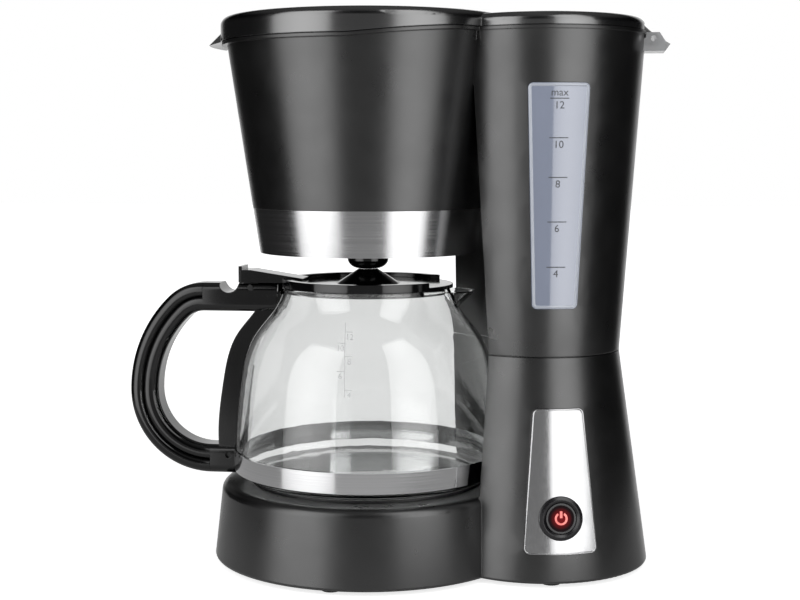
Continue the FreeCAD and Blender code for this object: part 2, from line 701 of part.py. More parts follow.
def lid_form(inset, z0, top_drop):
    """Two rounded discs, drawn in by inset, from z0 up to top_drop under the lid's top."""
    edge_r = LID_EDGE_R - inset
    forms = []
    for r, x, drop in ((LID_HEAD_R, 0, 0), (LID_TOWER_R, TOWER_X, LID_TOWER_DROP)):
        z1 = LID_TOP_Z - drop - top_drop
        body = disc(r - inset, z0, z1, x)
        top = [e for e in body.Edges if e.BoundBox.ZMin > z1 - SNUG]
        forms.append(body.makeFillet(edge_r, top))
    return fuse_all(forms)


def lid_tab():
    """Finger beak at the lid's far side from the hinge."""
    root = LID_HEAD_R - LID_WALL
    tip = LID_HEAD_R + TAB_REACH
    mid_z = (RIM_Z + LID_UNDER_Z) / 2
    outline = [(-root, RIM_Z + SLIP), (-LID_HEAD_R, RIM_Z + SLIP), (-tip, RIM_Z - TAB_DROP),
               (-LID_HEAD_R, mid_z), (-root, mid_z)]
    corners = [vec(x, 0, z) for x, z in outline]
    face = Part.Face(Part.makePolygon(corners + corners[:1]))
    face.rotate(vec(0, 0, 0), vec(0, 0, 1), -TAB_HALF_DEG)
    return face.revolve(vec(0, 0, 0), vec(0, 0, 1), 2 * TAB_HALF_DEG)


def lid_arm():
    """Hinge arm that drops from under the lid to the pin."""
    outer_x = TOWER_X + LID_TOWER_R
    root_x = outer_x - 2 * LID_WALL
    outline = [(root_x, LID_UNDER_Z + SNUG), (root_x, TOWER_RIM_Z + SLIP), (HINGE_X - ARM_R, HINGE_Z),
               (HINGE_X + ARM_R, HINGE_Z), (outer_x, LID_UNDER_Z - LID_WALL),
               (outer_x - LID_WALL, LID_UNDER_Z + SNUG)]
    return slab(outline, ARM_HALF_W).fuse(bar_y(ARM_R, ARM_HALF_W, HINGE_X, HINGE_Z))


def top_lid():
    shell = lid_form(0, RIM_Z, 0).cut(lid_form(LID_WALL, RIM_Z - PAST, LID_TOP_T))
    shell = shell.cut(below_rim(SLIP))
    side = LUG_HALF_W + SLIP
    notch = block(TOWER_X + LID_TOWER_R - 3 * LID_WALL, LUG_REACH, -side, side, RIM_Z, LID_UNDER_Z)
    lid = fuse_all([shell.cut(notch), lid_tab(), lid_arm()])
    return lid.cut(bar_y(HINGE_PIN_R + RUNNING, ARM_HALF_W, HINGE_X, HINGE_Z))


def hinge_pin():
    return bar_y(HINGE_PIN_R, LUG_HALF_W, HINGE_X, HINGE_Z)


def tray_form(inset, z0, z1):
    """Round dish over the basket with a channel to the riser."""
    length = math.hypot(PORT_X, PORT_Y)
    half_w = TRAY_INLET_R - inset
    channel = block(0, length, -half_w, half_w, z0, z1)
    channel.rotate(vec(0, 0, 0), vec(0, 0, 1), math.degrees(math.atan2(PORT_Y, PORT_X)))
    return fuse_all([disc(TRAY_R - inset, z0, z1), channel, disc(half_w, z0, z1, PORT_X, PORT_Y)])


def spreader_tray():
    floor_z = RIM_Z + TRAY_GAP
    tray = tray_form(0, floor_z, LID_UNDER_Z).cut(tray_form(TRAY_T, floor_z + TRAY_T, LID_UNDER_Z))
    holes = [disc(TUBE_BORE_R, floor_z, floor_z + TRAY_T, PORT_X, PORT_Y),
             disc(TRAY_HOLE_R, floor_z, floor_z + TRAY_T)]
    for i in range(TRAY_HOLES):
        turn = 2 * math.pi * i / TRAY_HOLES
        x = TRAY_HOLE_RING_R * math.cos(turn)
        y = TRAY_HOLE_RING_R * math.sin(turn)
        holes.append(disc(TRAY_HOLE_R, floor_z, floor_z + TRAY_T, x, y))
    return tray.cut(holes)


def filter_basket():
    inset = WALL + BASKET_CLEAR
    top_z = RIM_Z - BASKET_DROP
    floor_z = BASKET_Z + BASKET_FLOOR
    cup = head(inset, BASKET_Z, top_z).cut(head(inset + BASKET_WALL, floor_z, top_z))
    tube = disc(SPOUT_TUBE_R, VALVE_TOP_Z + SLIP, floor_z)
    bore = disc(SPOUT_TUBE_BORE_R, VALVE_TOP_Z, BASKET_Z)
    return fuse_all([cup, tube]).cut([bore, disc(BASKET_HOLE_R, BASKET_Z, floor_z)])


def drip_valve():
    """Bowl-shaped foot, stem and cap; the jug's lid holds it up at rest."""
    cap_z = SEAL_Z + VALVE_SEAL_T
    bowl_z = VALVE_TIP_Z + VALVE_BOWL_H
    tip, rim = vec(VALVE_TIP_R, 0, VALVE_TIP_Z), vec(VALVE_R, 0, bowl_z)
    belly = vec(VALVE_BELLY_R, 0, VALVE_TIP_Z + VALVE_BELLY_H)
    edges = polyline([(0, VALVE_TIP_Z), (VALVE_TIP_R, VALVE_TIP_Z)]) + [Part.Arc(tip, belly, rim).toShape()]
    edges += polyline([(VALVE_R, bowl_z), (VALVE_R, VALVE_TOP_Z), (VALVE_STEM_R, VALVE_TOP_Z),
                       (VALVE_STEM_R, cap_z), (VALVE_SEAL_R, cap_z), (VALVE_SEAL_R, cap_z + VALVE_CAP_H),
                       (0, cap_z + VALVE_CAP_H), (0, VALVE_TIP_Z)])
    return turned(edges)


def drip_valve_seal():
    return ring(VALVE_SEAL_R, VALVE_STEM_R + RUNNING, SEAL_Z, SEAL_Z + VALVE_SEAL_T)


def drip_valve_spring():
    """Sleeve of the spring's outer size, between the valve's foot and the basket's floor."""
    return ring(SPRING_R, SPRING_R - SPRING_WIRE, VALVE_TOP_Z, BASKET_Z)


def jug_form(grow, top_z):
    """Jug's outline turned about the brew axis, grown outward by grow, up to top_z."""
    outline = [(JUG_FOOT_R, -grow), (JUG_HEEL_R, JUG_HEEL_H), (JUG_BELLY_R, JUG_BELLY_H),
               (JUG_SIDE_R, JUG_SIDE_H), (JUG_SHOULDER_R, JUG_SHOULDER_H), (JUG_NECK_R, JUG_NECK_H),
               (JUG_RIM_R, JUG_H)]
    curve = Part.BSplineCurve()
    curve.interpolate([vec(r + grow, 0, JUG_FOOT_Z + h) for r, h in outline])
    foot_z = JUG_FOOT_Z - grow
    edges = polyline([(0, foot_z), (JUG_FOOT_R + grow, foot_z)]) + [curve.toShape()]
    rim = JUG_RIM_R + grow
    if top_z > JUG_RIM_Z:
        edges += polyline([(rim, JUG_RIM_Z), (rim, top_z), (0, top_z), (0, foot_z)])
    else:
        edges += polyline([(rim, JUG_RIM_Z), (0, JUG_RIM_Z), (0, foot_z)])
    return turned(edges)


def spout(inset, top_z):
    """Pour spout as a slanted cone that leans out of the neck."""
    root_z = JUG_RIM_Z - SPOUT_DEPTH + inset
    lip_x = SPOUT_REACH - SPOUT_R
    root_x = JUG_NECK_R - 2 * SPOUT_ROOT_R
    lip = slanted(root_x, SPOUT_ROOT_R - inset, root_z, lip_x, SPOUT_R - inset, JUG_RIM_Z)
    if top_z > JUG_RIM_Z:
        return fuse_all([lip, disc(SPOUT_R - inset, JUG_RIM_Z, top_z, lip_x)])
    return lip


def carafe_glass():
    bead = Part.makeTorus(JUG_RIM_R - BEAD_R / 2, BEAD_R, vec(0, 0, JUG_RIM_Z))
    outer = fuse_all([jug_form(0, JUG_RIM_Z), spout(0, JUG_RIM_Z), bead])
    top_z = JUG_RIM_Z + PAST
    return outer.cut(jug_form(-GLASS_T, top_z)).cut(spout(GLASS_T, top_z))


def carafe_strap():
    z0 = JUG_FOOT_Z + STRAP_LIFT
    z1 = z0 + STRAP_H
    band = ring(STRAP_R + STRAP_T, STRAP_R, z0, z1)
    gap = block(-STRAP_R - PAST, 0, -STRAP_EAR_GAP, STRAP_EAR_GAP, z0, z1)
    ear_x = -STRAP_R - STRAP_EAR_L
    ear = block(ear_x, -STRAP_R + STRAP_T, STRAP_EAR_GAP, STRAP_EAR_GAP + STRAP_T, z0, z1)
    ear = ear.cut(disc(STRAP_R, z0, z1))
    strap = fuse_all([band.cut(gap), ear, mirrored_y(ear)])
    return strap.cut(strap_screw_hole(SCREW_R + SLIP))


def strap_screw_hole(r):
    screw_x = -STRAP_R - STRAP_EAR_L / 2
    return bar_y(r, GRIP_HALF_W, screw_x, JUG_FOOT_Z + STRAP_LIFT + STRAP_H / 2)


def strap_screw():
    screw_x = -STRAP_R - STRAP_EAR_L / 2
    screw_z = JUG_FOOT_Z + STRAP_LIFT + STRAP_H / 2
    far_y = GRIP_HALF_W - SCREW_HEAD_H
    shank = bar_y(SCREW_R, far_y, screw_x, screw_z)
    top = Part.makeCylinder(SCREW_HEAD_R, SCREW_HEAD_H, vec(screw_x, far_y, screw_z), vec(0, 1, 0))
    return shank.fuse(top).removeSplitter()


def grip_lobe(near, far, near_edge_r, far_edge_r):
    """Lobe of the grip between two depths from its outer face, swept along the grip's three arcs."""
    outline = [(near, -GRIP_HALF_W), (far, -GRIP_HALF_W), (far, GRIP_HALF_W), (near, GRIP_HALF_W)]
    corners = [vec(-GRIP_REACH + d, y, GRIP_MID_Z) for d, y in outline]
    face = Part.Face(Part.makePolygon(corners + corners[:1]))
    thin = face.extrude(vec(0, 0, 1))
    uprights = [e for e in thin.Edges if e.BoundBox.ZLength > 0.5]
    near_x = -GRIP_REACH + near + SNUG
    near_edges = [e for e in uprights if e.BoundBox.XMax < near_x]
    thin = thin.makeFillet(near_edge_r, near_edges)
    far_x = -GRIP_REACH + far - SNUG
    uprights = [e for e in thin.Edges if e.BoundBox.ZLength > 0.5]
    far_edges = [e for e in uprights if e.BoundBox.XMin > far_x and abs(e.BoundBox.YMin) > GRIP_HALF_W - SNUG]
    thin = thin.makeFillet(far_edge_r, far_edges)
    section = [f for f in thin.Faces if f.BoundBox.ZMax < GRIP_MID_Z + SNUG][0]
    return sweep_grip(section)


def sweep_grip(section):
    """Turn a section at the grip's outermost point along the lower, upper and top arcs."""
    axis = vec(0, 1, 0)
    lower_c = vec(-GRIP_REACH + GRIP_LOWER_R, 0, GRIP_MID_Z)
    upper_c = vec(-GRIP_REACH + GRIP_UPPER_R, 0, GRIP_MID_Z)
    lean = grip_lean()
    lower = section.revolve(lower_c, axis, -90)
    upper = section.revolve(upper_c, axis, lean)
    end = section.copy()
    end.rotate(upper_c, axis, lean)
    top = end.revolve(grip_top_centre(), axis, 90 - lean)
    return fuse_all([lower, upper, top])


def grip_lean():
    """Angle that the upper arc turns before the top arc takes over."""
    rise = HANDLE_TOP_Z - GRIP_MID_Z - GRIP_TOP_R
    return math.degrees(math.asin(rise / (GRIP_UPPER_R - GRIP_TOP_R)))


def grip_top_centre():
    lean = math.radians(grip_lean())
    reach = (GRIP_UPPER_R - GRIP_TOP_R) * math.cos(lean)
    return vec(-GRIP_REACH + GRIP_UPPER_R - reach, 0, HANDLE_TOP_Z - GRIP_TOP_R)


def handle_grip():
    return grip_lobe(0, COVER_T, GRIP_EDGE_R, GROOVE_EDGE_R)


def rounded_bar_x(x0, x1, z0, z1):
    """Bar along X with the grip's width and rounded long edges."""
    bar = block(x0, x1, -GRIP_HALF_W, GRIP_HALF_W, z0, z1)
    long_edges = [e for e in bar.Edges if e.BoundBox.XLength > SNUG]
    return bar.makeFillet(GRIP_EDGE_R, long_edges)


def carafe_handle():
    lobe = grip_lobe(COVER_T, GRIP_T, GROOVE_EDGE_R, GRIP_EDGE_R)
    top_x = grip_top_centre().x
    head_block = rounded_bar_x(top_x, -HANDLE_NOSE_X, HANDLE_TOP_Z - GRIP_T, HANDLE_TOP_Z)
    foot_x = -GRIP_REACH + GRIP_LOWER_R
    foot_z = GRIP_MID_Z - GRIP_LOWER_R
    foot = rounded_bar_x(foot_x, -JUG_BELLY_R + PAST, foot_z, foot_z + GRIP_T)
    spine_zone = block(-GRIP_REACH, 0, -SPINE_HALF_W, SPINE_HALF_W,
                       foot_z + GRIP_EDGE_R, HANDLE_TOP_Z - GRIP_EDGE_R)
    spine = jug_form(SPINE_T, JUG_RIM_Z).common(spine_zone)
    handle = fuse_all([lobe, head_block, foot, spine])
    z0 = JUG_FOOT_Z + STRAP_LIFT - SLIP
    z1 = z0 + STRAP_H + 2 * SLIP
    strap_room = disc(STRAP_R + STRAP_T + SNUG, z0, z1)
    ear_half = STRAP_EAR_GAP + STRAP_T + SNUG
    ear_room = block(-STRAP_R - STRAP_EAR_L - SLIP, 0, -ear_half, ear_half, z0, z1)
    notch = bar_y(THUMB_NOTCH_R, GRIP_HALF_W, LEVER_X - LEVER_T / 2 - THUMB_NOTCH_R, HANDLE_TOP_Z + SNUG)
    slot_half = TONGUE_HALF_W + SLIP
    slot = block(LEVER_X - LEVER_T / 2, 0, -slot_half, slot_half, jug_pin_z() - TONGUE_R - SLIP, HANDLE_TOP_Z)
    pin_hole = bar_y(JUG_PIN_R + RUNNING, GRIP_HALF_W, JUG_PIN_X, jug_pin_z())
    screw_head = Part.makeCylinder(SCREW_HEAD_R + SNUG, SCREW_HEAD_H,
                                   vec(-STRAP_R - STRAP_EAR_L / 2, GRIP_HALF_W - SCREW_HEAD_H,
                                       JUG_FOOT_Z + STRAP_LIFT + STRAP_H / 2), vec(0, 1, 0))
    bead_room = disc(JUG_RIM_R + BEAD_R + SLIP, JUG_RIM_Z - 2 * BEAD_R, HANDLE_TOP_Z)
    return handle.cut([jug_form(SLIP, HANDLE_TOP_Z), bead_room, strap_room, ear_room, notch, slot, pin_hole,
                       strap_screw_hole(SCREW_R + RUNNING), screw_head])


def jug_pin_z():
    return HANDLE_TOP_Z - JUG_PIN_DROP


def jug_lid_pin():
    return bar_y(JUG_PIN_R, GRIP_HALF_W, JUG_PIN_X, jug_pin_z())


def carafe_lid():
    seat_z = JUG_RIM_Z + BEAD_R + SNUG
    plate_z = seat_z + JUG_LID_T
    plate = disc(JUG_LID_R, seat_z, plate_z)
    rim = ring(JUG_LID_R, JUG_LID_R - JUG_LID_RIM_T, plate_z, seat_z + JUG_LID_RIM_H)
    gap_half = JUG_LID_R * math.sin(math.radians(JUG_LID_GAP_DEG))
    rim = rim.cut(block(0, JUG_LID_R, -gap_half, gap_half, plate_z, seat_z + JUG_LID_RIM_H))
    plug_r = JUG_RIM_R - GLASS_T - SLIP
    plug = ring(plug_r, plug_r - JUG_PLUG_T, seat_z - JUG_PLUG_H, seat_z)
    plug = plug.cut(block(0, JUG_LID_R, -gap_half, gap_half, seat_z - JUG_PLUG_H, seat_z))
    peak = cone(CONE_R, plate_z, CONE_TIP_R, VALVE_TIP_Z - SLIP)
    bridge_z = HANDLE_TOP_Z + SLIP
    bridge_top = bridge_z + BRIDGE_RISE
    rim_x = -JUG_LID_R + JUG_LID_RIM_T
    bridge = slab([(LEVER_X, bridge_z), (rim_x, bridge_z), (rim_x, plate_z), (BRIDGE_END_X, plate_z),
                   (BRIDGE_END_X, seat_z + JUG_LID_RIM_H), (JUG_PIN_X, bridge_top),
                   (LEVER_X, bridge_top)], BRIDGE_HALF_W)
    tongue = fuse_all([bar_y(TONGUE_R, TONGUE_HALF_W, JUG_PIN_X, jug_pin_z()),
                       block(JUG_PIN_X - TONGUE_R, JUG_PIN_X + TONGUE_R, -TONGUE_HALF_W, TONGUE_HALF_W,
                             jug_pin_z(), bridge_z)])
    lever = block(LEVER_X - LEVER_T / 2, LEVER_X + LEVER_T / 2, -LEVER_HALF_W, LEVER_HALF_W,
                  bridge_z, HANDLE_TOP_Z + LEVER_RISE)
    lid = fuse_all([plate, rim, plug, peak, bridge, tongue, lever])
    bore = disc(CONE_BORE_R, seat_z, VALVE_TIP_Z)
    return lid.cut([bore, bar_y(JUG_PIN_R + RUNNING, TONGUE_HALF_W, JUG_PIN_X, jug_pin_z())])


def warming_plate():
    return disc(PLATE_R, PLATE_BOTTOM_Z, PLATE_TOP_Z)


def plate_seal():
    return ring(PLATE_R, PLATE_R + SLIP - LEDGE_W, PLATE_BOTTOM_Z - SEAL_T, PLATE_BOTTOM_Z)


def heater_form(half_w, z0, z1):
    """U-shaped bar: a half ring on the far side and two legs towards the tower."""
    outer_r, inner_r = HEATER_R + half_w, HEATER_R - half_w
    bend = ring(outer_r, inner_r, z0, z1).common(block(-outer_r, 0, -outer_r, outer_r, z0, z1))
    legs = [block(0, HEATER_LEG, y - half_w, y + half_w, z0, z1) for y in (-HEATER_R, HEATER_R)]
    return fuse_all([bend] + legs)


def heating_element():
    bar = heater_form(HEATER_W / 2, HEATER_Z, PLATE_BOTTOM_Z)
    along = vec(1, 0, 0)
    starts = [vec(HEATER_LEG, y, STUB_Z) for y in (-HEATER_R, HEATER_R)]
    stubs = [Part.makeCylinder(TUBE_R, STUB_L, start, along) for start in starts]
    bores = [Part.makeCylinder(TUBE_BORE_R, HEATER_LEG + STUB_L, vec(0, y, STUB_Z), along)
             for y in (-HEATER_R, HEATER_R)]
    way = Part.makeTorus(HEATER_R, TUBE_BORE_R, vec(0, 0, STUB_Z))
    far = HEATER_R + HEATER_W
    way = way.common(block(-far, 0, -far, far, HEATER_Z, PLATE_BOTTOM_Z))
    return fuse_all([bar] + stubs).cut(bores + [way])


def element_clamp():
    bar = block(CLAMP_X - CLAMP_W / 2, CLAMP_X + CLAMP_W / 2, -CLAMP_HALF_L, CLAMP_HALF_L,
                HEATER_Z - CLAMP_T, HEATER_Z)
    return bar.cut([disc(SCREW_R + RUNNING, HEATER_Z - CLAMP_T, HEATER_Z, CLAMP_X, y)
                    for y in (-CLAMP_SCREW_Y, CLAMP_SCREW_Y)])


def clamp_screws():
    screws = []
    for y in (-CLAMP_SCREW_Y, CLAMP_SCREW_Y):
        top_z = HEATER_Z - CLAMP_T
        shank = disc(SCREW_R, top_z, PLATE_BOTTOM_Z, CLAMP_X, y)
        top = disc(SCREW_HEAD_R, top_z - SCREW_HEAD_H, top_z, CLAMP_X, y)
        screws.append(top.fuse(shank).removeSplitter())
    return Part.makeCompound(screws)


def blade(x, y, top_z):
    """Flat terminal that hangs down from a height."""
    half_w, half_t = TERMINAL_W / 2, TERMINAL_T / 2
    return block(x - half_w, x + half_w, y - half_t, y + half_t, top_z - TERMINAL_L, top_z)


def thermostat():
    low_z = PLATE_BOTTOM_Z - THERMOSTAT_H
    case = disc(THERMOSTAT_R, low_z, PLATE_BOTTOM_Z, THERMOSTAT_X)
    blades = [blade(THERMOSTAT_X, y, low_z) for y in (-THERMOSTAT_R / 2, THERMOSTAT_R / 2)]
    return fuse_all([case] + blades)


def thermal_fuse():
    return bar_y(FUSE_R, FUSE_HALF_L, FUSE_X, PLATE_BOTTOM_Z - FUSE_R)


def hose_form(r, y):
    """Hose from a heater stub along X, round one bend, and up to the port above."""
    start_x = HEATER_LEG + STUB_L - HOSE_OVERLAP
    bend_x = PORT_X - HOSE_BEND_R
    top_z = TANK_FLOOR_Z - NOZZLE_L + HOSE_OVERLAP
    run = Part.makeCylinder(r, bend_x - start_x, vec(start_x, y, STUB_Z), vec(1, 0, 0))
    section = Part.Face(Part.Wire(Part.makeCircle(r, vec(bend_x, y, STUB_Z), vec(1, 0, 0))))
    bend = section.revolve(vec(bend_x, y, STUB_Z + HOSE_BEND_R), vec(0, 1, 0), -90)
    rise = disc(r, STUB_Z + HOSE_BEND_R, top_z, PORT_X, y)
    return fuse_all([run, bend, rise])


def hose(y):
    return hose_form(HOSE_R, y).cut(hose_form(HOSE_BORE_R, y))


def hose_clips():
    clips = []
    clip_r, hose_r = HOSE_R + CLIP_T, HOSE_R + RUNNING
    low_x = HEATER_LEG + STUB_L - HOSE_OVERLAP / 2 - CLIP_W / 2
    low_z = TANK_FLOOR_Z - NOZZLE_L + HOSE_OVERLAP / 2 - CLIP_W / 2
    for y in (-PORT_Y, PORT_Y):
        start = vec(low_x, y, STUB_Z)
        outer = Part.makeCylinder(clip_r, CLIP_W, start, vec(1, 0, 0))
        inner = Part.makeCylinder(hose_r, CLIP_W, start, vec(1, 0, 0))
        clips.append(outer.cut(inner))
        clips.append(ring(clip_r, hose_r, low_z, low_z + CLIP_W, PORT_X, y))
    return Part.makeCompound(clips)


def switch_bezel():
    """Flange ring with a sloped face, and a barrel through the housing wall."""
    edges = polyline([(BARREL_BORE_R, -BARREL_L), (BARREL_R, -BARREL_L), (BARREL_R, -BEZEL_SUNK),
                      (BEZEL_R, -BEZEL_SUNK), (BEZEL_R, BEZEL_PROUD / 2), (BARREL_R, BEZEL_PROUD),
                      (BARREL_BORE_R, BEZEL_PROUD / 2), (BARREL_BORE_R, -BARREL_L)])
    return put(turned(edges), SWITCH_PLACE)


def switch_button():
    cap = disc(BUTTON_R, BUTTON_PROUD - BUTTON_L, BUTTON_PROUD)
    return put(cap.cut(disc(LENS_R + RUNNING, BUTTON_PROUD - LENS_T, BUTTON_PROUD)), SWITCH_PLACE)


def switch_lens():
    return put(disc(LENS_R, BUTTON_PROUD - LENS_T, BUTTON_PROUD), SWITCH_PLACE)


def switch_spring():
    """Sleeve of the spring's outer size behind the button; its far end enters a well in the switch's back."""
    sleeve = ring(SWITCH_SPRING_R, SWITCH_SPRING_R - SPRING_WIRE, -BARREL_L, BUTTON_PROUD - BUTTON_L)
    return put(sleeve, SWITCH_PLACE)


def switch_body():
    back = disc(BARREL_R, -BARREL_L - SWITCH_BACK_T, -BARREL_L)
    back = back.cut(disc(SWITCH_SPRING_R + SLIP, -BARREL_L - BUTTON_TRAVEL - SLIP, -BARREL_L))
    blades = [blade(0, y, -BARREL_L - SWITCH_BACK_T) for y in (-BARREL_R / 2, BARREL_R / 2)]
    return put(fuse_all([back] + blades), SWITCH_PLACE)


def cord_gland():
    """Bush in the back of the lower column that a supply lead would pass through."""
    flange_z = GLAND_FLANGE_T / 2
    flange = disc(GLAND_FLANGE_R, flange_z, flange_z + GLAND_FLANGE_T)
    barrel = disc(GLAND_R, -2 * WALL, GLAND_FLANGE_T)
    bush = fuse_all([flange, barrel]).cut(disc(GLAND_BORE_R, -2 * WALL, 2 * GLAND_FLANGE_T))
    return put(bush, GLAND_PLACE)


NODES = {
    "lower_housing": lower_housing, "bottom_cover": bottom_cover, "rubber_feet": rubber_feet,
    "cover_screws": cover_screws, "housing_screws": housing_screws, "upper_housing": upper_housing,
    "filter_head": filter_head,
    "steel_band": steel_band, "gauge_window": gauge_window, "control_plate": control_plate,
    "water_tank": water_tank, "check_valve": check_valve, "riser_tube": riser_tube,
    "top_lid": top_lid, "lid_hinge_pin": hinge_pin, "spreader_tray": spreader_tray,
    "filter_basket": filter_basket, "drip_valve": drip_valve, "drip_valve_seal": drip_valve_seal,
    "drip_valve_spring": drip_valve_spring, "carafe_glass": carafe_glass, "carafe_strap": carafe_strap,
    "strap_screw": strap_screw, "carafe_handle": carafe_handle, "handle_grip": handle_grip,
    "carafe_lid": carafe_lid, "carafe_lid_pin": jug_lid_pin, "warming_plate": warming_plate,
    "plate_seal": plate_seal, "heating_element": heating_element, "element_clamp": element_clamp,
    "clamp_screws": clamp_screws, "thermostat": thermostat, "thermal_fuse": thermal_fuse,
    "cold_hose": lambda: hose(-PORT_Y), "hot_hose": lambda: hose(PORT_Y), "hose_clips": hose_clips,
    "switch_bezel": switch_bezel, "switch_button": switch_button, "switch_lens": switch_lens,
    "switch_spring": switch_spring, "switch_body": switch_body, "cord_gland": cord_gland,
}

os.makedirs("parts", exist_ok=True)
for name, make in NODES.items():
    shape = make()
    shape.translate(vec(BREW_X, 0, 0))
    shape.exportStep("parts/" + name + ".step")
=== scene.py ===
"""Looks of the drip coffee maker: materials, printed marks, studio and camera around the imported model."""

import math

import bpy
from mathutils import Matrix, Vector


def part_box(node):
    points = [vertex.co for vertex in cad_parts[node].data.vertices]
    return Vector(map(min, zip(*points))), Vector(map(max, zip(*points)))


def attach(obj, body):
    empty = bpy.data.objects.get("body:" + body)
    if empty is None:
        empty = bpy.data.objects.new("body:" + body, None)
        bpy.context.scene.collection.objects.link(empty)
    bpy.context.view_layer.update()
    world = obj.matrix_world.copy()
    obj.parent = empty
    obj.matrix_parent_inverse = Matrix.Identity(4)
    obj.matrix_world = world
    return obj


MM = 0.001
WHITE = (1, 1, 1, 1)

# Where the printed marks and beads go: millimetres in the frame of the model,
# and degrees round an upright axis from the front
BREW_X = -14.15
TOWER_X = BREW_X + 96.8
PRINT_LIFT = 0.08
CAPITAL_SHARE = 0.72
LETTER_STEPS = 4

GAUGE_TURN = 11.4
GAUGE_LOW_Z, GAUGE_HIGH_Z = 146.9, 264.9
GAUGE_HALF_LOW, GAUGE_HALF_HIGH = 12.0, 16.3
GAUGE_CORNER_R = 2.6
GAUGE_RIM_W, GAUGE_RIM_RISE = 1.9, 0.5
GAUGE_CUPS = {"12": 256.6, "10": 236.4, "8": 215.9, "6": 192.7, "4": 168.9}
GAUGE_TICK_W, GAUGE_TICK_H = 10.0, 0.5
GAUGE_TICK_STEPS = 8
GAUGE_WORD = "max"
GAUGE_TEXT_H, GAUGE_TEXT_GAP = 3.9, 1.1

PANEL_TURN = 13.9
PANEL_LOW_Z, PANEL_HIGH_Z = 18.1, 93.8
PANEL_HALF_LOW, PANEL_HALF_HIGH = 19.8, 13.6
PANEL_CORNER_R = 3.0
PANEL_RIM_W, PANEL_RIM_RISE = 0.9, 0.25

RIM_INSET, RIM_SINK = 0.15, 0.02
RIM_STEPS = 6
CORNER_STEPS, SIDE_STEPS = 6, 14

LENS_NORMAL = Vector((0.237773, -0.960797, 0.142596))
SYMBOL_R, SYMBOL_STROKE = 2.9, 1.1
SYMBOL_GAP_DEG = 32
SYMBOL_TURN_STEPS = 40
SYMBOL_BAR_W, SYMBOL_BAR_LOW, SYMBOL_BAR_HIGH = 1.4, 0.3, 3.9
SYMBOL_BAR_STEPS = 2
GLOW_R = 8.5

JUG_TURN = 7.0
JUG_MARK_X = -11.0
JUG_LINE_LOW_Z, JUG_LINE_HIGH_Z = 102.0, 139.0
JUG_LINE_W = 0.35
JUG_LINE_STEPS = 24
JUG_CUPS = (("12", 134.5, 1), ("10", 129.0, -1), ("8", 122.5, 1), ("6", 115.0, -1), ("4", 105.5, 1))
JUG_TICK_W, JUG_TICK_STEPS = 4.0, 3
JUG_TEXT_H, JUG_TEXT_GAP = 3.0, 0.7
JUG_TEXT_SHARE = 0.6

# Finishes: linear colours, or the shade of a metal, with roughness and index of refraction
AROUND = (6.0, 6.0, 2400.0)
UPRIGHT = (2400.0, 2400.0, 6.0)
SATIN = {"colour": (0.002, 0.002, 0.0022), "rough": 0.30, "ior": 1.88}
GLOSS = {"colour": (0.002, 0.002, 0.0023), "rough": 0.17, "ior": 2.4}
GRIP = {"colour": (0.002, 0.002, 0.0022), "rough": 0.06, "ior": 1.58}
INNER = {"colour": (0.03, 0.03, 0.031), "rough": 0.3, "ior": 1.6}
SWITCH_GREY = {"colour": (0.008, 0.0075, 0.009), "rough": 0.2, "ior": 1.55}
SWITCH_WHITE = {"colour": (0.6, 0.59, 0.56), "rough": 0.45, "ior": 1.5}
BAND = {"stretch": AROUND, "rough": 0.2}
PANEL = {"stretch": UPRIGHT, "rough": 0.16}
STRAP = {"stretch": AROUND, "rough": 0.1}
PLATED = {"shade": 0.6, "rough": 0.2}
BLACKENED = {"shade": 0.05, "rough": 0.3}
ELEMENT = {"shade": 0.4, "rough": 0.35}
PANEL_EDGE = {"shade": 0.62, "rough": 0.15}
SMOKE = {"colour": (0.36, 0.365, 0.37), "rough": 0.18, "through": 0.4, "ior": 1.5}
GAUGE = {"colour": (0.20, 0.225, 0.295), "rough": 0.06, "through": 0.0, "ior": 2.1}
GAUGE_RIM = {"colour": (0.36, 0.385, 0.44), "rough": 0.14, "through": 0.0, "ior": 1.8}
SILICONE_COLOUR = (0.55, 0.55, 0.53)
RUBBER_COLOUR = (0.012, 0.012, 0.012)
GAUGE_INK = {"colour": (0.05, 0.052, 0.06), "through": 0.0}
JUG_INK = {"colour": (0.5, 0.5, 0.51), "through": 0.5}

# Textures: noise cells per metre, heights in millimetres, factors on a colour, and changes of roughness
NOISE_LOW, NOISE_HIGH = 0.3, 0.7
MOULD_EDGE_MM = 0.7
MOULD_PATCHES, MOULD_GRAIN = 60.0, 2600.0
MOULD_GRAIN_MM = 0.012
MOULD_DARK, MOULD_LIGHT = 0.85, 1.15
MOULD_ROUGH_SPREAD = 0.03
WORN_DARK, WORN_LIGHT = 0.8, 1.2
SMUDGES, SMUDGE_DETAIL = 35.0, 6.0
SMUDGE_ROUGHER = 0.05
POLISH_WAVES, POLISH_WAVE_MM = 18.0, 0.02
BRUSH_SHADE = 0.60
BRUSH_DARK, BRUSH_LIGHT = (0.92, 0.92, 0.93), (1.0, 1.0, 1.01)
BRUSH_LINES, BRUSH_DETAIL = 1.0, 2.0
BRUSH_LINE_MM = 0.004
BRUSH_SMOOTHER, BRUSH_ROUGHER = 0.03, 0.05
WEAR_SPOTS = 400.0
WEAR_DARK, WEAR_LIGHT = (0.8, 0.8, 0.82), (1.0, 1.0, 1.0)
WEAR_ROUGHER = 0.15
GLASS_COLOUR, GLASS_IOR = (0.885, 0.892, 0.889, 1), 1.55
GLASS_WAVES, GLASS_WAVE_MM = 14.0, 0.03
GLASS_ROUGH = (0.0, 0.012)
CLOUDS, CLOUD_DARK = 25.0, 0.94
CLOUD_ROUGHER = 0.04
RUBBER_SHEEN = 0.1
RUBBER_BLOOM, RUBBER_ROUGH = 90.0, (0.6, 0.75)
RUBBER_GRAIN, RUBBER_GRAIN_MM = 1500.0, 0.02
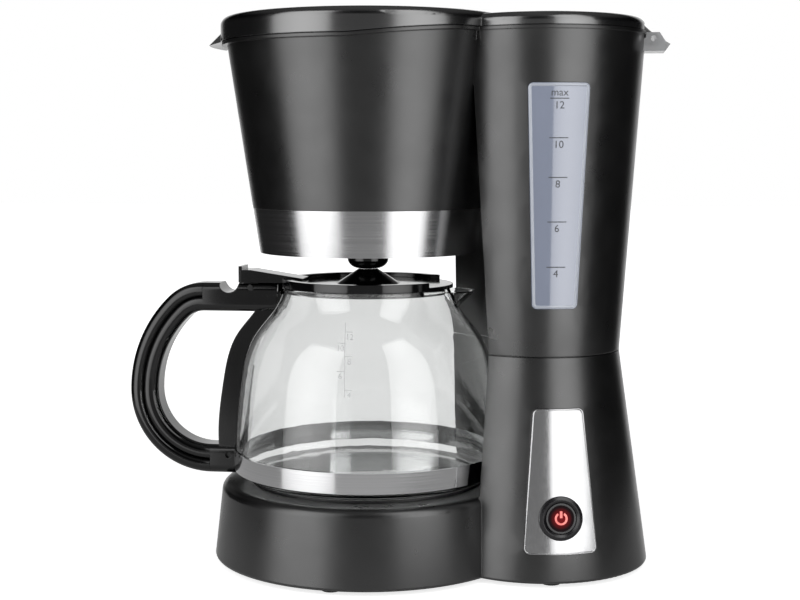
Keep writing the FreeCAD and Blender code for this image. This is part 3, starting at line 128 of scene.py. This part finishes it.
PEEL_CELLS, PEEL_MM = 900.0, 0.03
PEEL_DARK, PEEL_LIGHT = (0.02, 0.02, 0.021), (0.032, 0.032, 0.033)
PEEL_ROUGH = (0.3, 0.4)
LENS_IOR, LENS_SHINE = 1.4, 0.05
LENS_UNLIT, LENS_LIT = (0.0, 0.0, 0.0), (0.17, 0.003, 0.005)
LENS_DARK, LENS_LIGHT = (0.006, 0.002, 0.003), (0.01, 0.003, 0.004)
LENS_CLOUDS, LENS_ROUGH = 300.0, (0.12, 0.2)
SIGN_COLOUR, SIGN_GLOW = (0.6, 0.12, 0.1, 1), 0.9
SIGN_DARK, SIGN_LIGHT = (0.36, 0.05, 0.055), (0.85, 0.28, 0.25)
SIGN_CLOUDS, SIGN_ROUGH = 350.0, (0.3, 0.4)
INK_SPOTS, INK_THIN = 700.0, 1.4
INK_ROUGH = (0.4, 0.55)

# Studio in metres, as the camera sees it: x to its right and y away from it, from the jug's axis
EYE = (0.018, -0.829, 0.2268)
EYE_TURN, EYE_TILT = 0.122, 0.097
LENS_MM = 66.2
LEFT_BOX = {"x": -0.766, "y": -0.643, "z": 0.55, "turn": -0.87, "width": 0.89, "height": 1.5}
RIGHT_BOX = {"x": 0.256, "y": -0.328, "z": 0.42, "turn": 0.766, "width": 0.294, "height": 0.82}
BOX_GLOW, BOX_EDGE = 2.4, 0.55
FLOOR_SIDE = 12.0
FLOOR_COLOUR, FLOOR_ROUGH = (0.85, 0.85, 0.85, 1), 0.9
FLOOR_NEAR, FLOOR_FAR = 0.3, 0.9
FLOOR_GLOW_NEAR, FLOOR_GLOW_FAR = 0.74, 1.0
MIRRORED_NEAR, MIRRORED_FAR = 0.35, 0.6
MIRRORED_GLOW, MIRRORED_SHARE = 0.87, 0.45

# Light from all round: strengths, and limits in the depth (y) or the height (z) of a direction
FILL_DIFFUSE = 0.25
WALL_EDGE, WALL_FULL = 0.80, 0.92
FRONT_EDGE, FRONT_FULL = -0.6, -0.9
GLOSS_FRONT, GLOSS_SIDE = 0.24, 0.02
GLOSS_LOW, GLOSS_HIGH = 0.12, 0.34
CEILING_LOW, CEILING_HIGH = 0.5, 0.95
CEILING_GLOW = 0.2


# Helpers for shader nodes

def ranged(tree, value, low, high, to_low, to_high):
    """A number that runs from to_low to to_high as the value runs from low to high."""
    node = tree.nodes.new("ShaderNodeMapRange")
    for socket, number in zip(("From Min", "From Max", "To Min", "To Max"), (low, high, to_low, to_high)):
        node.inputs[socket].default_value = number
    tree.links.new(value, node.inputs["Value"])
    return node.outputs["Result"]


def combined(tree, operation, first, second):
    """The result of a sum with two sockets, or with a socket and a number."""
    node = tree.nodes.new("ShaderNodeMath")
    node.operation = operation
    for socket, source in zip(node.inputs, (first, second)):
        if isinstance(source, float):
            socket.default_value = source
        else:
            tree.links.new(source, socket)
    return node.outputs["Value"]


def mixed(tree, share, first, second):
    """A mix of two shaders, the second with this share."""
    node = tree.nodes.new("ShaderNodeMixShader")
    for socket, source in zip(node.inputs, (share, first, second)):
        tree.links.new(source, socket)
    return node.outputs["Shader"]


def distance(tree, centre):
    """How far a place on the object is from the centre."""
    place = tree.nodes.new("ShaderNodeTexCoord")
    away = tree.nodes.new("ShaderNodeVectorMath")
    away.operation = "DISTANCE"
    away.inputs[1].default_value = centre
    tree.links.new(place.outputs["Object"], away.inputs[0])
    return away.outputs["Value"]


def looked_at(tree, path):
    """1 where a place is seen straight or through glass, and 0 where it only lights or is mirrored."""
    return combined(tree, "MAXIMUM", path.outputs["Is Camera Ray"], path.outputs["Is Transmission Ray"])


# Helpers for materials

def shader(name, **sockets):
    """A new material with these sockets of its Principled shader set."""
    made = bpy.data.materials.new(name)
    made.use_nodes = True
    for socket, value in sockets.items():
        principled(made).inputs[socket.replace("_", " ")].default_value = value
    return made


def principled(made):
    """The Principled shader of a material."""
    return made.node_tree.nodes["Principled BSDF"]


def grain(made, scale, stretch=(1, 1, 1), detail=3.0):
    """Noise from 0 to 1 over the surface, drawn out along the axes with a small stretch."""
    tree = made.node_tree
    place = tree.nodes.new("ShaderNodeTexCoord")
    mapping = tree.nodes.new("ShaderNodeMapping")
    noise = tree.nodes.new("ShaderNodeTexNoise")
    mapping.inputs["Scale"].default_value = stretch
    noise.inputs["Scale"].default_value = scale
    noise.inputs["Detail"].default_value = detail
    tree.links.new(place.outputs["Object"], mapping.inputs["Vector"])
    tree.links.new(mapping.outputs["Vector"], noise.inputs["Vector"])
    return noise.outputs["Fac"]


def roughen(made, source, low, high):
    """The source's middle range moves the roughness from low to high."""
    tree = made.node_tree
    level = ranged(tree, source, NOISE_LOW, NOISE_HIGH, low, high)
    tree.links.new(level, principled(made).inputs["Roughness"])


def tint(made, source, dark, light, socket="Base Color"):
    """The source's middle range moves a colour socket of the shader from dark to light."""
    tree = made.node_tree
    ramp = tree.nodes.new("ShaderNodeValToRGB")
    for stop, position, colour in zip(ramp.color_ramp.elements, (NOISE_LOW, NOISE_HIGH), (dark, light)):
        stop.position = position
        stop.color = (*colour, 1)
    tree.links.new(source, ramp.inputs["Fac"])
    tree.links.new(ramp.outputs["Color"], principled(made).inputs[socket])


def shaded(colour, factor):
    """A colour made darker or lighter by a factor."""
    return [c * factor for c in colour]


def emboss(made, source, depth_mm, edge_mm=0.0):
    """In the shading alone, the source raises the skin by up to depth_mm, and edges are eased by edge_mm."""
    tree = made.node_tree
    bump = tree.nodes.new("ShaderNodeBump")
    bump.inputs["Distance"].default_value = depth_mm * MM
    tree.links.new(source, bump.inputs["Height"])
    if edge_mm:
        eased = tree.nodes.new("ShaderNodeBevel")
        eased.inputs["Radius"].default_value = edge_mm * MM
        tree.links.new(eased.outputs["Normal"], bump.inputs["Normal"])
    tree.links.new(bump.outputs["Normal"], principled(made).inputs["Normal"])


# Materials

def moulded(name, colour, rough, ior):
    """Satin moulding with the fine texture of a sparked mould."""
    made = shader(name, IOR=ior)
    patches = grain(made, MOULD_PATCHES)
    tint(made, patches, shaded(colour, MOULD_DARK), shaded(colour, MOULD_LIGHT))
    roughen(made, patches, rough - MOULD_ROUGH_SPREAD, rough + MOULD_ROUGH_SPREAD)
    emboss(made, grain(made, MOULD_GRAIN), MOULD_GRAIN_MM, MOULD_EDGE_MM)
    return made


def polished(name, colour, rough, ior):
    """Gloss moulding with faint handling marks and a slight wave in its surface."""
    made = shader(name, IOR=ior)
    smudges = grain(made, SMUDGES, detail=SMUDGE_DETAIL)
    tint(made, smudges, shaded(colour, WORN_DARK), shaded(colour, WORN_LIGHT))
    roughen(made, smudges, rough, rough + SMUDGE_ROUGHER)
    emboss(made, grain(made, POLISH_WAVES), POLISH_WAVE_MM, MOULD_EDGE_MM)
    return made


def brushed(name, stretch, rough):
    """Stainless sheet, its brush lines drawn out along the axes with a small stretch."""
    made = shader(name, Metallic=1.0)
    lines = grain(made, BRUSH_LINES, stretch, BRUSH_DETAIL)
    tint(made, lines, shaded(BRUSH_DARK, BRUSH_SHADE), shaded(BRUSH_LIGHT, BRUSH_SHADE))
    roughen(made, lines, rough - BRUSH_SMOOTHER, rough + BRUSH_ROUGHER)
    emboss(made, lines, BRUSH_LINE_MM)
    return made


def bright_metal(name, shade, rough):
    """Plated or bare metal of wire, pins, screws and edges."""
    made = shader(name, Metallic=1.0)
    wear = grain(made, WEAR_SPOTS)
    tint(made, wear, shaded(WEAR_DARK, shade), shaded(WEAR_LIGHT, shade))
    roughen(made, wear, rough, rough + WEAR_ROUGHER)
    return made


def clear_glass():
    """Blown glass, very slightly uneven."""
    made = shader("clear_glass", Base_Color=GLASS_COLOUR, Transmission_Weight=1.0, IOR=GLASS_IOR)
    waves = grain(made, GLASS_WAVES)
    roughen(made, waves, *GLASS_ROUGH)
    emboss(made, waves, GLASS_WAVE_MM)
    return made


def milky(name, colour, rough, through, ior):
    """Translucent plastic, cloudy inside and smooth outside."""
    made = shader(name, Transmission_Weight=through, IOR=ior)
    clouds = grain(made, CLOUDS)
    tint(made, clouds, shaded(colour, CLOUD_DARK), colour)
    roughen(made, clouds, rough, rough + CLOUD_ROUGHER)
    return made


def soft_rubber(name, colour):
    """Matt rubber or silicone with a dusty bloom."""
    made = shader(name, Sheen_Weight=RUBBER_SHEEN)
    bloom = grain(made, RUBBER_BLOOM)
    tint(made, bloom, shaded(colour, WORN_DARK), shaded(colour, WORN_LIGHT))
    roughen(made, bloom, *RUBBER_ROUGH)
    emboss(made, grain(made, RUBBER_GRAIN), RUBBER_GRAIN_MM)
    return made


def coated_plate():
    """Dark non-stick coating with a fine orange peel."""
    made = shader("coated_plate")
    peel = grain(made, PEEL_CELLS)
    tint(made, peel, PEEL_DARK, PEEL_LIGHT)
    roughen(made, peel, *PEEL_ROUGH)
    emboss(made, peel, PEEL_MM)
    return made


def glowing_lens():
    """Dark red lens, lit from behind at its middle."""
    made = shader("glowing_lens", IOR=LENS_IOR, Specular_IOR_Level=LENS_SHINE, Emission_Strength=1.0)
    tree = made.node_tree
    glow = ranged(tree, distance(tree, lens_centre()), GLOW_R * MM, 0.0, 0.0, 1.0)
    tint(made, glow, LENS_UNLIT, LENS_LIT, "Emission Color")
    clouds = grain(made, LENS_CLOUDS)
    tint(made, clouds, LENS_DARK, LENS_LIGHT)
    roughen(made, clouds, *LENS_ROUGH)
    return made


def glowing_sign():
    """The lit strokes of the power sign."""
    made = shader("glowing_sign", Base_Color=SIGN_COLOUR, Emission_Strength=SIGN_GLOW)
    clouds = grain(made, SIGN_CLOUDS)
    tint(made, clouds, SIGN_DARK, SIGN_LIGHT, "Emission Color")
    roughen(made, clouds, *SIGN_ROUGH)
    return made


def ink(name, colour, through):
    """Screen-printed ink, thin in places."""
    made = shader(name, Transmission_Weight=through)
    spots = grain(made, INK_SPOTS)
    tint(made, spots, colour, shaded(colour, INK_THIN))
    roughen(made, spots, *INK_ROUGH)
    return made


def lens_centre():
    """The middle of the switch lens."""
    low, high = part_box("switch_lens")
    return (low + high) / 2


def paint(nodes):
    """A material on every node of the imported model."""
    finishes = {
        moulded("satin_black", **SATIN): ("lower_housing", "upper_housing", "filter_head", "bottom_cover"),
        polished("gloss_black", **GLOSS): ("top_lid",),
        polished("grip_black", **GRIP): ("carafe_handle", "handle_grip", "carafe_lid", "drip_valve"),
        moulded("inner_black", **INNER): ("filter_basket", "spreader_tray"),
        moulded("switch_grey", **SWITCH_GREY): ("switch_bezel", "switch_button"),
        moulded("switch_white", **SWITCH_WHITE): ("switch_body", "thermostat"),
        brushed("brushed_band", **BAND): ("steel_band",),
        brushed("brushed_panel", **PANEL): ("control_plate",),
        brushed("strap_steel", **STRAP): ("carafe_strap",),
        bright_metal("plated_steel", **PLATED): (
            "cover_screws", "housing_screws", "clamp_screws", "lid_hinge_pin", "drip_valve_spring",
            "switch_spring", "hose_clips"),
        bright_metal("blackened_steel", **BLACKENED): ("strap_screw", "carafe_lid_pin"),
        bright_metal("element_metal", **ELEMENT): ("heating_element", "element_clamp", "thermal_fuse"),
        milky("smoke_plastic", **SMOKE): ("water_tank", "riser_tube"),
        milky("gauge_plastic", **GAUGE): ("gauge_window",),
        soft_rubber("silicone", SILICONE_COLOUR): (
            "cold_hose", "hot_hose", "check_valve", "drip_valve_seal", "plate_seal"),
        soft_rubber("rubber", RUBBER_COLOUR): ("rubber_feet", "cord_gland"),
        clear_glass(): ("carafe_glass",),
        glowing_lens(): ("switch_lens",),
        coated_plate(): ("warming_plate",),
    }
    for finish, names in finishes.items():
        for name in names:
            nodes[name].data.materials.clear()
            nodes[name].data.materials.append(finish)


# Helpers for the printed marks and beads, which are drawn flat and then laid on a node

def piece(name, points, faces, finish, smooth=False):
    """A new mesh object from points in metres."""
    mesh = bpy.data.meshes.new(name)
    mesh.from_pydata(points, [], faces)
    mesh.polygons.foreach_set("use_smooth", [smooth] * len(mesh.polygons))
    mesh.materials.append(finish)
    made = bpy.data.objects.new(name, mesh)
    bpy.context.scene.collection.objects.link(made)
    return made


def laid(node, point, towards, lift_mm):
    """The place above the node's skin that the point meets when it moves along towards."""
    hit, place = node.ray_cast(point - towards, towards)[:2]
    if not hit:
        place = node.closest_point_on_mesh(point)[1]
    return place - towards * lift_mm * MM


def facing(axis_x, turn):
    """A function that lays a point, drawn across and up in millimetres, on a node that faces this way."""
    a = math.radians(turn)
    across = Vector((math.cos(a), math.sin(a), 0))
    inward = Vector((-math.sin(a), math.cos(a), 0))

    def lay(node, point, lift_mm):
        u, z = point
        return laid(node, (Vector((axis_x, 0, z)) + across * u) * MM - inward, inward, lift_mm)
    return lay


def strip(x0, x1, z0, z1, steps=1):
    """Points and faces of a flat bar, cut into steps along x."""
    points = []
    for i in range(steps + 1):
        x = x0 + (x1 - x0) * i / steps
        points += [(x, z0), (x, z1)]
    faces = [(2 * i, 2 * i + 2, 2 * i + 3, 2 * i + 1) for i in range(steps)]
    return points, faces


def lettering(text, height, x, z):
    """Points and faces of a line of text, centred on x with its foot at z."""
    curve = bpy.data.curves.new("lettering", "FONT")
    curve.body = text
    curve.size = height / CAPITAL_SHARE
    curve.align_x = "CENTER"
    curve.resolution_u = LETTER_STEPS
    holder = bpy.data.objects.new("lettering", curve)
    bpy.context.scene.collection.objects.link(holder)
    bpy.context.view_layer.update()
    mesh = bpy.data.meshes.new_from_object(holder)
    points = [(x + v.co.x, z + v.co.y) for v in mesh.vertices]
    faces = [tuple(p.vertices) for p in mesh.polygons]
    bpy.data.objects.remove(holder)
    bpy.data.curves.remove(curve)
    bpy.data.meshes.remove(mesh)
    return points, faces


def joined(parts):
    """Several drawings as one."""
    points, faces = [], []
    for more_points, more_faces in parts:
        faces += [tuple(i + len(points) for i in face) for face in more_faces]
        points += more_points
    return points, faces


def print_on(name, parts, node, lay, finish, body):
    """A drawing, across and up in millimetres, printed on a node."""
    points, faces = joined(parts)
    spots = [lay(node, point, PRINT_LIFT) for point in points]
    made = piece(name, spots, faces, finish)
    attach(made, body)


def rounded_outline(half_low, half_high, z_low, z_high, corner, inset):
    """Points round a trapezium with rounded corners, set in from its edge."""
    r = corner - inset
    low, high = z_low + corner, z_high - corner
    starts = [(-half_low, low, 180), (half_low, low, 270), (half_high, high, 0), (-half_high, high, 90)]
    arcs = []
    for half, cz, start in starts:
        cx = half - math.copysign(corner, half)
        arc = []
        for i in range(CORNER_STEPS + 1):
            a = math.radians(start + 90 * i / CORNER_STEPS)
            arc.append((cx + r * math.cos(a), cz + r * math.sin(a)))
        arcs.append(arc)
    outline = []
    for arc, after in zip(arcs, arcs[1:] + arcs[:1]):
        outline += arc
        (x0, z0), (x1, z1) = arc[-1], after[0]
        shares = [i / SIDE_STEPS for i in range(1, SIDE_STEPS)]
        outline += [(x0 + (x1 - x0) * t, z0 + (z1 - z0) * t) for t in shares]
    return outline


def raised_rim(name, outline_at, width, rise, node, lay, finish):
    """A rounded bead round a window or panel, standing up from the node that carries it."""
    points = []
    for i in range(RIM_STEPS + 1):
        ring = outline_at(RIM_INSET + (width - RIM_INSET) * i / RIM_STEPS)
        lift = rise * math.sin(math.pi * i / RIM_STEPS) - RIM_SINK
        points += [lay(node, point, lift) for point in ring]
    n = len(ring)
    faces = []
    for i in range(RIM_STEPS):
        for j in range(n):
            k = (j + 1) % n
            faces.append((i * n + j, i * n + k, (i + 1) * n + k, (i + 1) * n + j))
    made = piece(name, points, faces, finish, smooth=True)
    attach(made, "machine")


# Pieces

def gauge_print(nodes):
    """Cup ticks and numbers on the water gauge, with a word over the highest tick."""
    parts = []
    for cups, z in GAUGE_CUPS.items():
        parts.append(strip(-GAUGE_TICK_W / 2, GAUGE_TICK_W / 2, z, z + GAUGE_TICK_H, GAUGE_TICK_STEPS))
        parts.append(lettering(cups, GAUGE_TEXT_H, 0, z - GAUGE_TEXT_GAP - GAUGE_TEXT_H))
    top = max(GAUGE_CUPS.values())
    parts.append(lettering(GAUGE_WORD, GAUGE_TEXT_H, 0, top + GAUGE_TICK_H + GAUGE_TEXT_GAP))
    dark = ink("gauge_ink", **GAUGE_INK)
    lay = facing(TOWER_X, GAUGE_TURN)
    print_on("gauge_print", parts, nodes["gauge_window"], lay, dark, "machine")


def gauge_rim(nodes):
    """The paler bead round the water gauge."""
    def outline(inset):
        return rounded_outline(GAUGE_HALF_LOW, GAUGE_HALF_HIGH, GAUGE_LOW_Z, GAUGE_HIGH_Z,
                               GAUGE_CORNER_R, inset)
    pale = milky("gauge_rim_plastic", **GAUGE_RIM)
    lay = facing(TOWER_X, GAUGE_TURN)
    window = nodes["gauge_window"]
    raised_rim("gauge_rim", outline, GAUGE_RIM_W, GAUGE_RIM_RISE, window, lay, pale)


def panel_rim(nodes):
    """The rolled edge of the steel control panel."""
    def outline(inset):
        return rounded_outline(PANEL_HALF_LOW, PANEL_HALF_HIGH, PANEL_LOW_Z, PANEL_HIGH_Z,
                               PANEL_CORNER_R, inset)
    bright = bright_metal("panel_edge_steel", **PANEL_EDGE)
    lay = facing(TOWER_X, PANEL_TURN)
    plate = nodes["control_plate"]
    raised_rim("panel_rim", outline, PANEL_RIM_W, PANEL_RIM_RISE, plate, lay, bright)


def power_sign(nodes):
    """The lit power sign on the switch lens: an open ring and a bar."""
    centre = lens_centre()
    across = Vector((0, 0, 1)).cross(LENS_NORMAL).normalized()
    upward = LENS_NORMAL.cross(across).normalized()
    ring = []
    for i in range(SYMBOL_TURN_STEPS + 1):
        a = math.radians(90 + SYMBOL_GAP_DEG + (360 - 2 * SYMBOL_GAP_DEG) * i / SYMBOL_TURN_STEPS)
        for r in (SYMBOL_R - SYMBOL_STROKE / 2, SYMBOL_R + SYMBOL_STROKE / 2):
            ring.append((r * math.cos(a), r * math.sin(a)))
    ring_faces = [(2 * i, 2 * i + 1, 2 * i + 3, 2 * i + 2) for i in range(SYMBOL_TURN_STEPS)]
    bar = strip(-SYMBOL_BAR_W / 2, SYMBOL_BAR_W / 2, SYMBOL_BAR_LOW, SYMBOL_BAR_HIGH, SYMBOL_BAR_STEPS)
    flat, faces = joined([(ring, ring_faces), bar])
    spots = []
    for u, v in flat:
        point = centre + (across * u + upward * v) * MM
        spots.append(laid(nodes["switch_lens"], point, -LENS_NORMAL, PRINT_LIFT))
    made = piece("power_sign", spots, faces, glowing_sign())
    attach(made, "button")


def jug_print(nodes):
    """A faint cup scale on the front of the glass jug."""
    half = JUG_LINE_W / 2
    rise = JUG_LINE_HIGH_Z - JUG_LINE_LOW_Z
    heights = [JUG_LINE_LOW_Z + rise * i / JUG_LINE_STEPS for i in range(JUG_LINE_STEPS + 1)]
    parts = []
    for z0, z1 in zip(heights, heights[1:]):
        parts.append(strip(JUG_MARK_X - half, JUG_MARK_X + half, z0, z1))
    for cups, z, side in JUG_CUPS:
        end = JUG_MARK_X + side * JUG_TICK_W
        middle = JUG_MARK_X + side * JUG_TICK_W * JUG_TEXT_SHARE
        parts.append(strip(min(JUG_MARK_X, end), max(JUG_MARK_X, end), z, z + JUG_LINE_W, JUG_TICK_STEPS))
        parts.append(lettering(cups, JUG_TEXT_H, middle, z - JUG_TEXT_GAP - JUG_TEXT_H))
    pale = ink("jug_ink", **JUG_INK)
    lay = facing(BREW_X, JUG_TURN)
    print_on("jug_print", parts, nodes["carafe_glass"], lay, pale, "jug")


# Studio

def floor():
    """A white floor that takes the shadow of the model, and shows faintly in its gloss close by."""
    half = FLOOR_SIDE / 2
    made = shader("white_floor", Roughness=FLOOR_ROUGH, Base_Color=FLOOR_COLOUR, Emission_Color=WHITE)
    tree = made.node_tree
    bsdf = principled(made)
    path = tree.nodes.new("ShaderNodeLightPath")
    away = distance(tree, (0, 0, 0))
    glow = ranged(tree, away, FLOOR_NEAR, FLOOR_FAR, FLOOR_GLOW_NEAR, FLOOR_GLOW_FAR)
    tree.links.new(combined(tree, "MULTIPLY", looked_at(tree, path), glow), bsdf.inputs["Emission Strength"])
    clear = tree.nodes.new("ShaderNodeBsdfTransparent")
    shine = tree.nodes.new("ShaderNodeEmission")
    shine.inputs["Strength"].default_value = MIRRORED_GLOW
    share = ranged(tree, away, MIRRORED_NEAR, MIRRORED_FAR, MIRRORED_SHARE, 0.0)
    faint = mixed(tree, share, clear.outputs["BSDF"], shine.outputs["Emission"])
    surface = mixed(tree, path.outputs["Is Glossy Ray"], bsdf.outputs["BSDF"], faint)
    tree.links.new(surface, tree.nodes["Material Output"].inputs["Surface"])
    corners = [(-half, -half, 0), (half, -half, 0), (half, half, 0), (-half, half, 0)]
    piece("floor", corners, [(0, 1, 2, 3)], made)


def surroundings():
    """White to look at and through. Mirrored, a white wall behind, a grey front and ceiling, dim sides."""
    world = bpy.data.worlds.new("studio")
    bpy.context.scene.world = world
    world.use_nodes = True
    tree = world.node_tree
    tree.nodes.clear()
    path = tree.nodes.new("ShaderNodeLightPath")
    place = tree.nodes.new("ShaderNodeTexCoord")
    split = tree.nodes.new("ShaderNodeSeparateXYZ")
    tree.links.new(place.outputs["Generated"], split.inputs["Vector"])
    depth, height = split.outputs["Y"], split.outputs["Z"]
    wall = ranged(tree, depth, WALL_EDGE, WALL_FULL, 0.0, 1.0)
    near = ranged(tree, depth, FRONT_EDGE, FRONT_FULL, GLOSS_SIDE, GLOSS_FRONT)
    below = ranged(tree, height, GLOSS_LOW, GLOSS_HIGH, 1.0, 0.0)
    front = combined(tree, "MULTIPLY", near, below)
    ceiling = ranged(tree, height, CEILING_LOW, CEILING_HIGH, 0.0, CEILING_GLOW)
    around = combined(tree, "MAXIMUM", wall, combined(tree, "MAXIMUM", front, ceiling))
    mirrored = combined(tree, "MULTIPLY", path.outputs["Is Glossy Ray"], around)
    lit = combined(tree, "MULTIPLY", path.outputs["Is Diffuse Ray"], FILL_DIFFUSE)
    strength = combined(tree, "MAXIMUM", looked_at(tree, path), combined(tree, "MAXIMUM", mirrored, lit))
    background = tree.nodes.new("ShaderNodeBackground")
    background.inputs["Color"].default_value = WHITE
    output = tree.nodes.new("ShaderNodeOutputWorld")
    tree.links.new(strength, background.inputs["Strength"])
    tree.links.new(background.outputs["Background"], output.inputs["Surface"])


def in_frame(x, y, z):
    """A place given as the camera sees it, in the frame of the model."""
    return Vector((BREW_X * MM, 0, 0)) + Matrix.Rotation(EYE_TURN, 3, "Z") @ Vector((x, y, z))


def softbox(name, x, y, z, turn, width, height):
    """A tall soft lamp, brightest along its middle, that faces the model."""
    light = bpy.data.lights.new(name, "AREA")
    light.shape = "RECTANGLE"
    light.size = width
    light.size_y = height
    light.energy = BOX_GLOW * math.pi * width * height
    light.use_nodes = True
    tree = light.node_tree
    place = tree.nodes.new("ShaderNodeNewGeometry")
    split = tree.nodes.new("ShaderNodeSeparateXYZ")
    tree.links.new(place.outputs["Parametric"], split.inputs["Vector"])
    from_left = split.outputs["X"]
    from_right = combined(tree, "SUBTRACT", 1.0, from_left)
    hump = combined(tree, "MULTIPLY", from_left, from_right)
    middle = 0.5
    level = ranged(tree, hump, 0.0, middle * (1 - middle), BOX_EDGE, 1.0)
    tree.links.new(level, tree.nodes["Emission"].inputs["Strength"])
    lamp = bpy.data.objects.new(name, light)
    lamp.location = in_frame(x, y, z)
    lamp.rotation_euler = (math.pi / 2, 0, turn + EYE_TURN)
    lamp.visible_camera = False
    bpy.context.scene.collection.objects.link(lamp)


def camera():
    """The camera at the photograph's place."""
    data = bpy.data.cameras.new("camera")
    data.lens = LENS_MM
    made = bpy.data.objects.new("camera", data)
    made.location = in_frame(*EYE)
    made.rotation_euler = (math.pi / 2 - EYE_TILT, 0, EYE_TURN)
    bpy.context.scene.collection.objects.link(made)
    bpy.context.scene.camera = made


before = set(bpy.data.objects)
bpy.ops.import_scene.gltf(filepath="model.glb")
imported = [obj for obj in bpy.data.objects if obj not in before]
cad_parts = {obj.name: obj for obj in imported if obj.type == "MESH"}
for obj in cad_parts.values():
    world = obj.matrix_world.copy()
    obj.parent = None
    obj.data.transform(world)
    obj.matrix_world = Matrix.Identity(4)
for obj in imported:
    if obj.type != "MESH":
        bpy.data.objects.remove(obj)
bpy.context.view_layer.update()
bpy.context.scene.view_settings.view_transform = "Standard"
paint(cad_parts)
gauge_print(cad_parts)
gauge_rim(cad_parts)
panel_rim(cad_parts)
power_sign(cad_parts)
jug_print(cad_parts)
floor()
surroundings()
softbox("left_softbox", **LEFT_BOX)
softbox("right_softbox", **RIGHT_BOX)
camera()
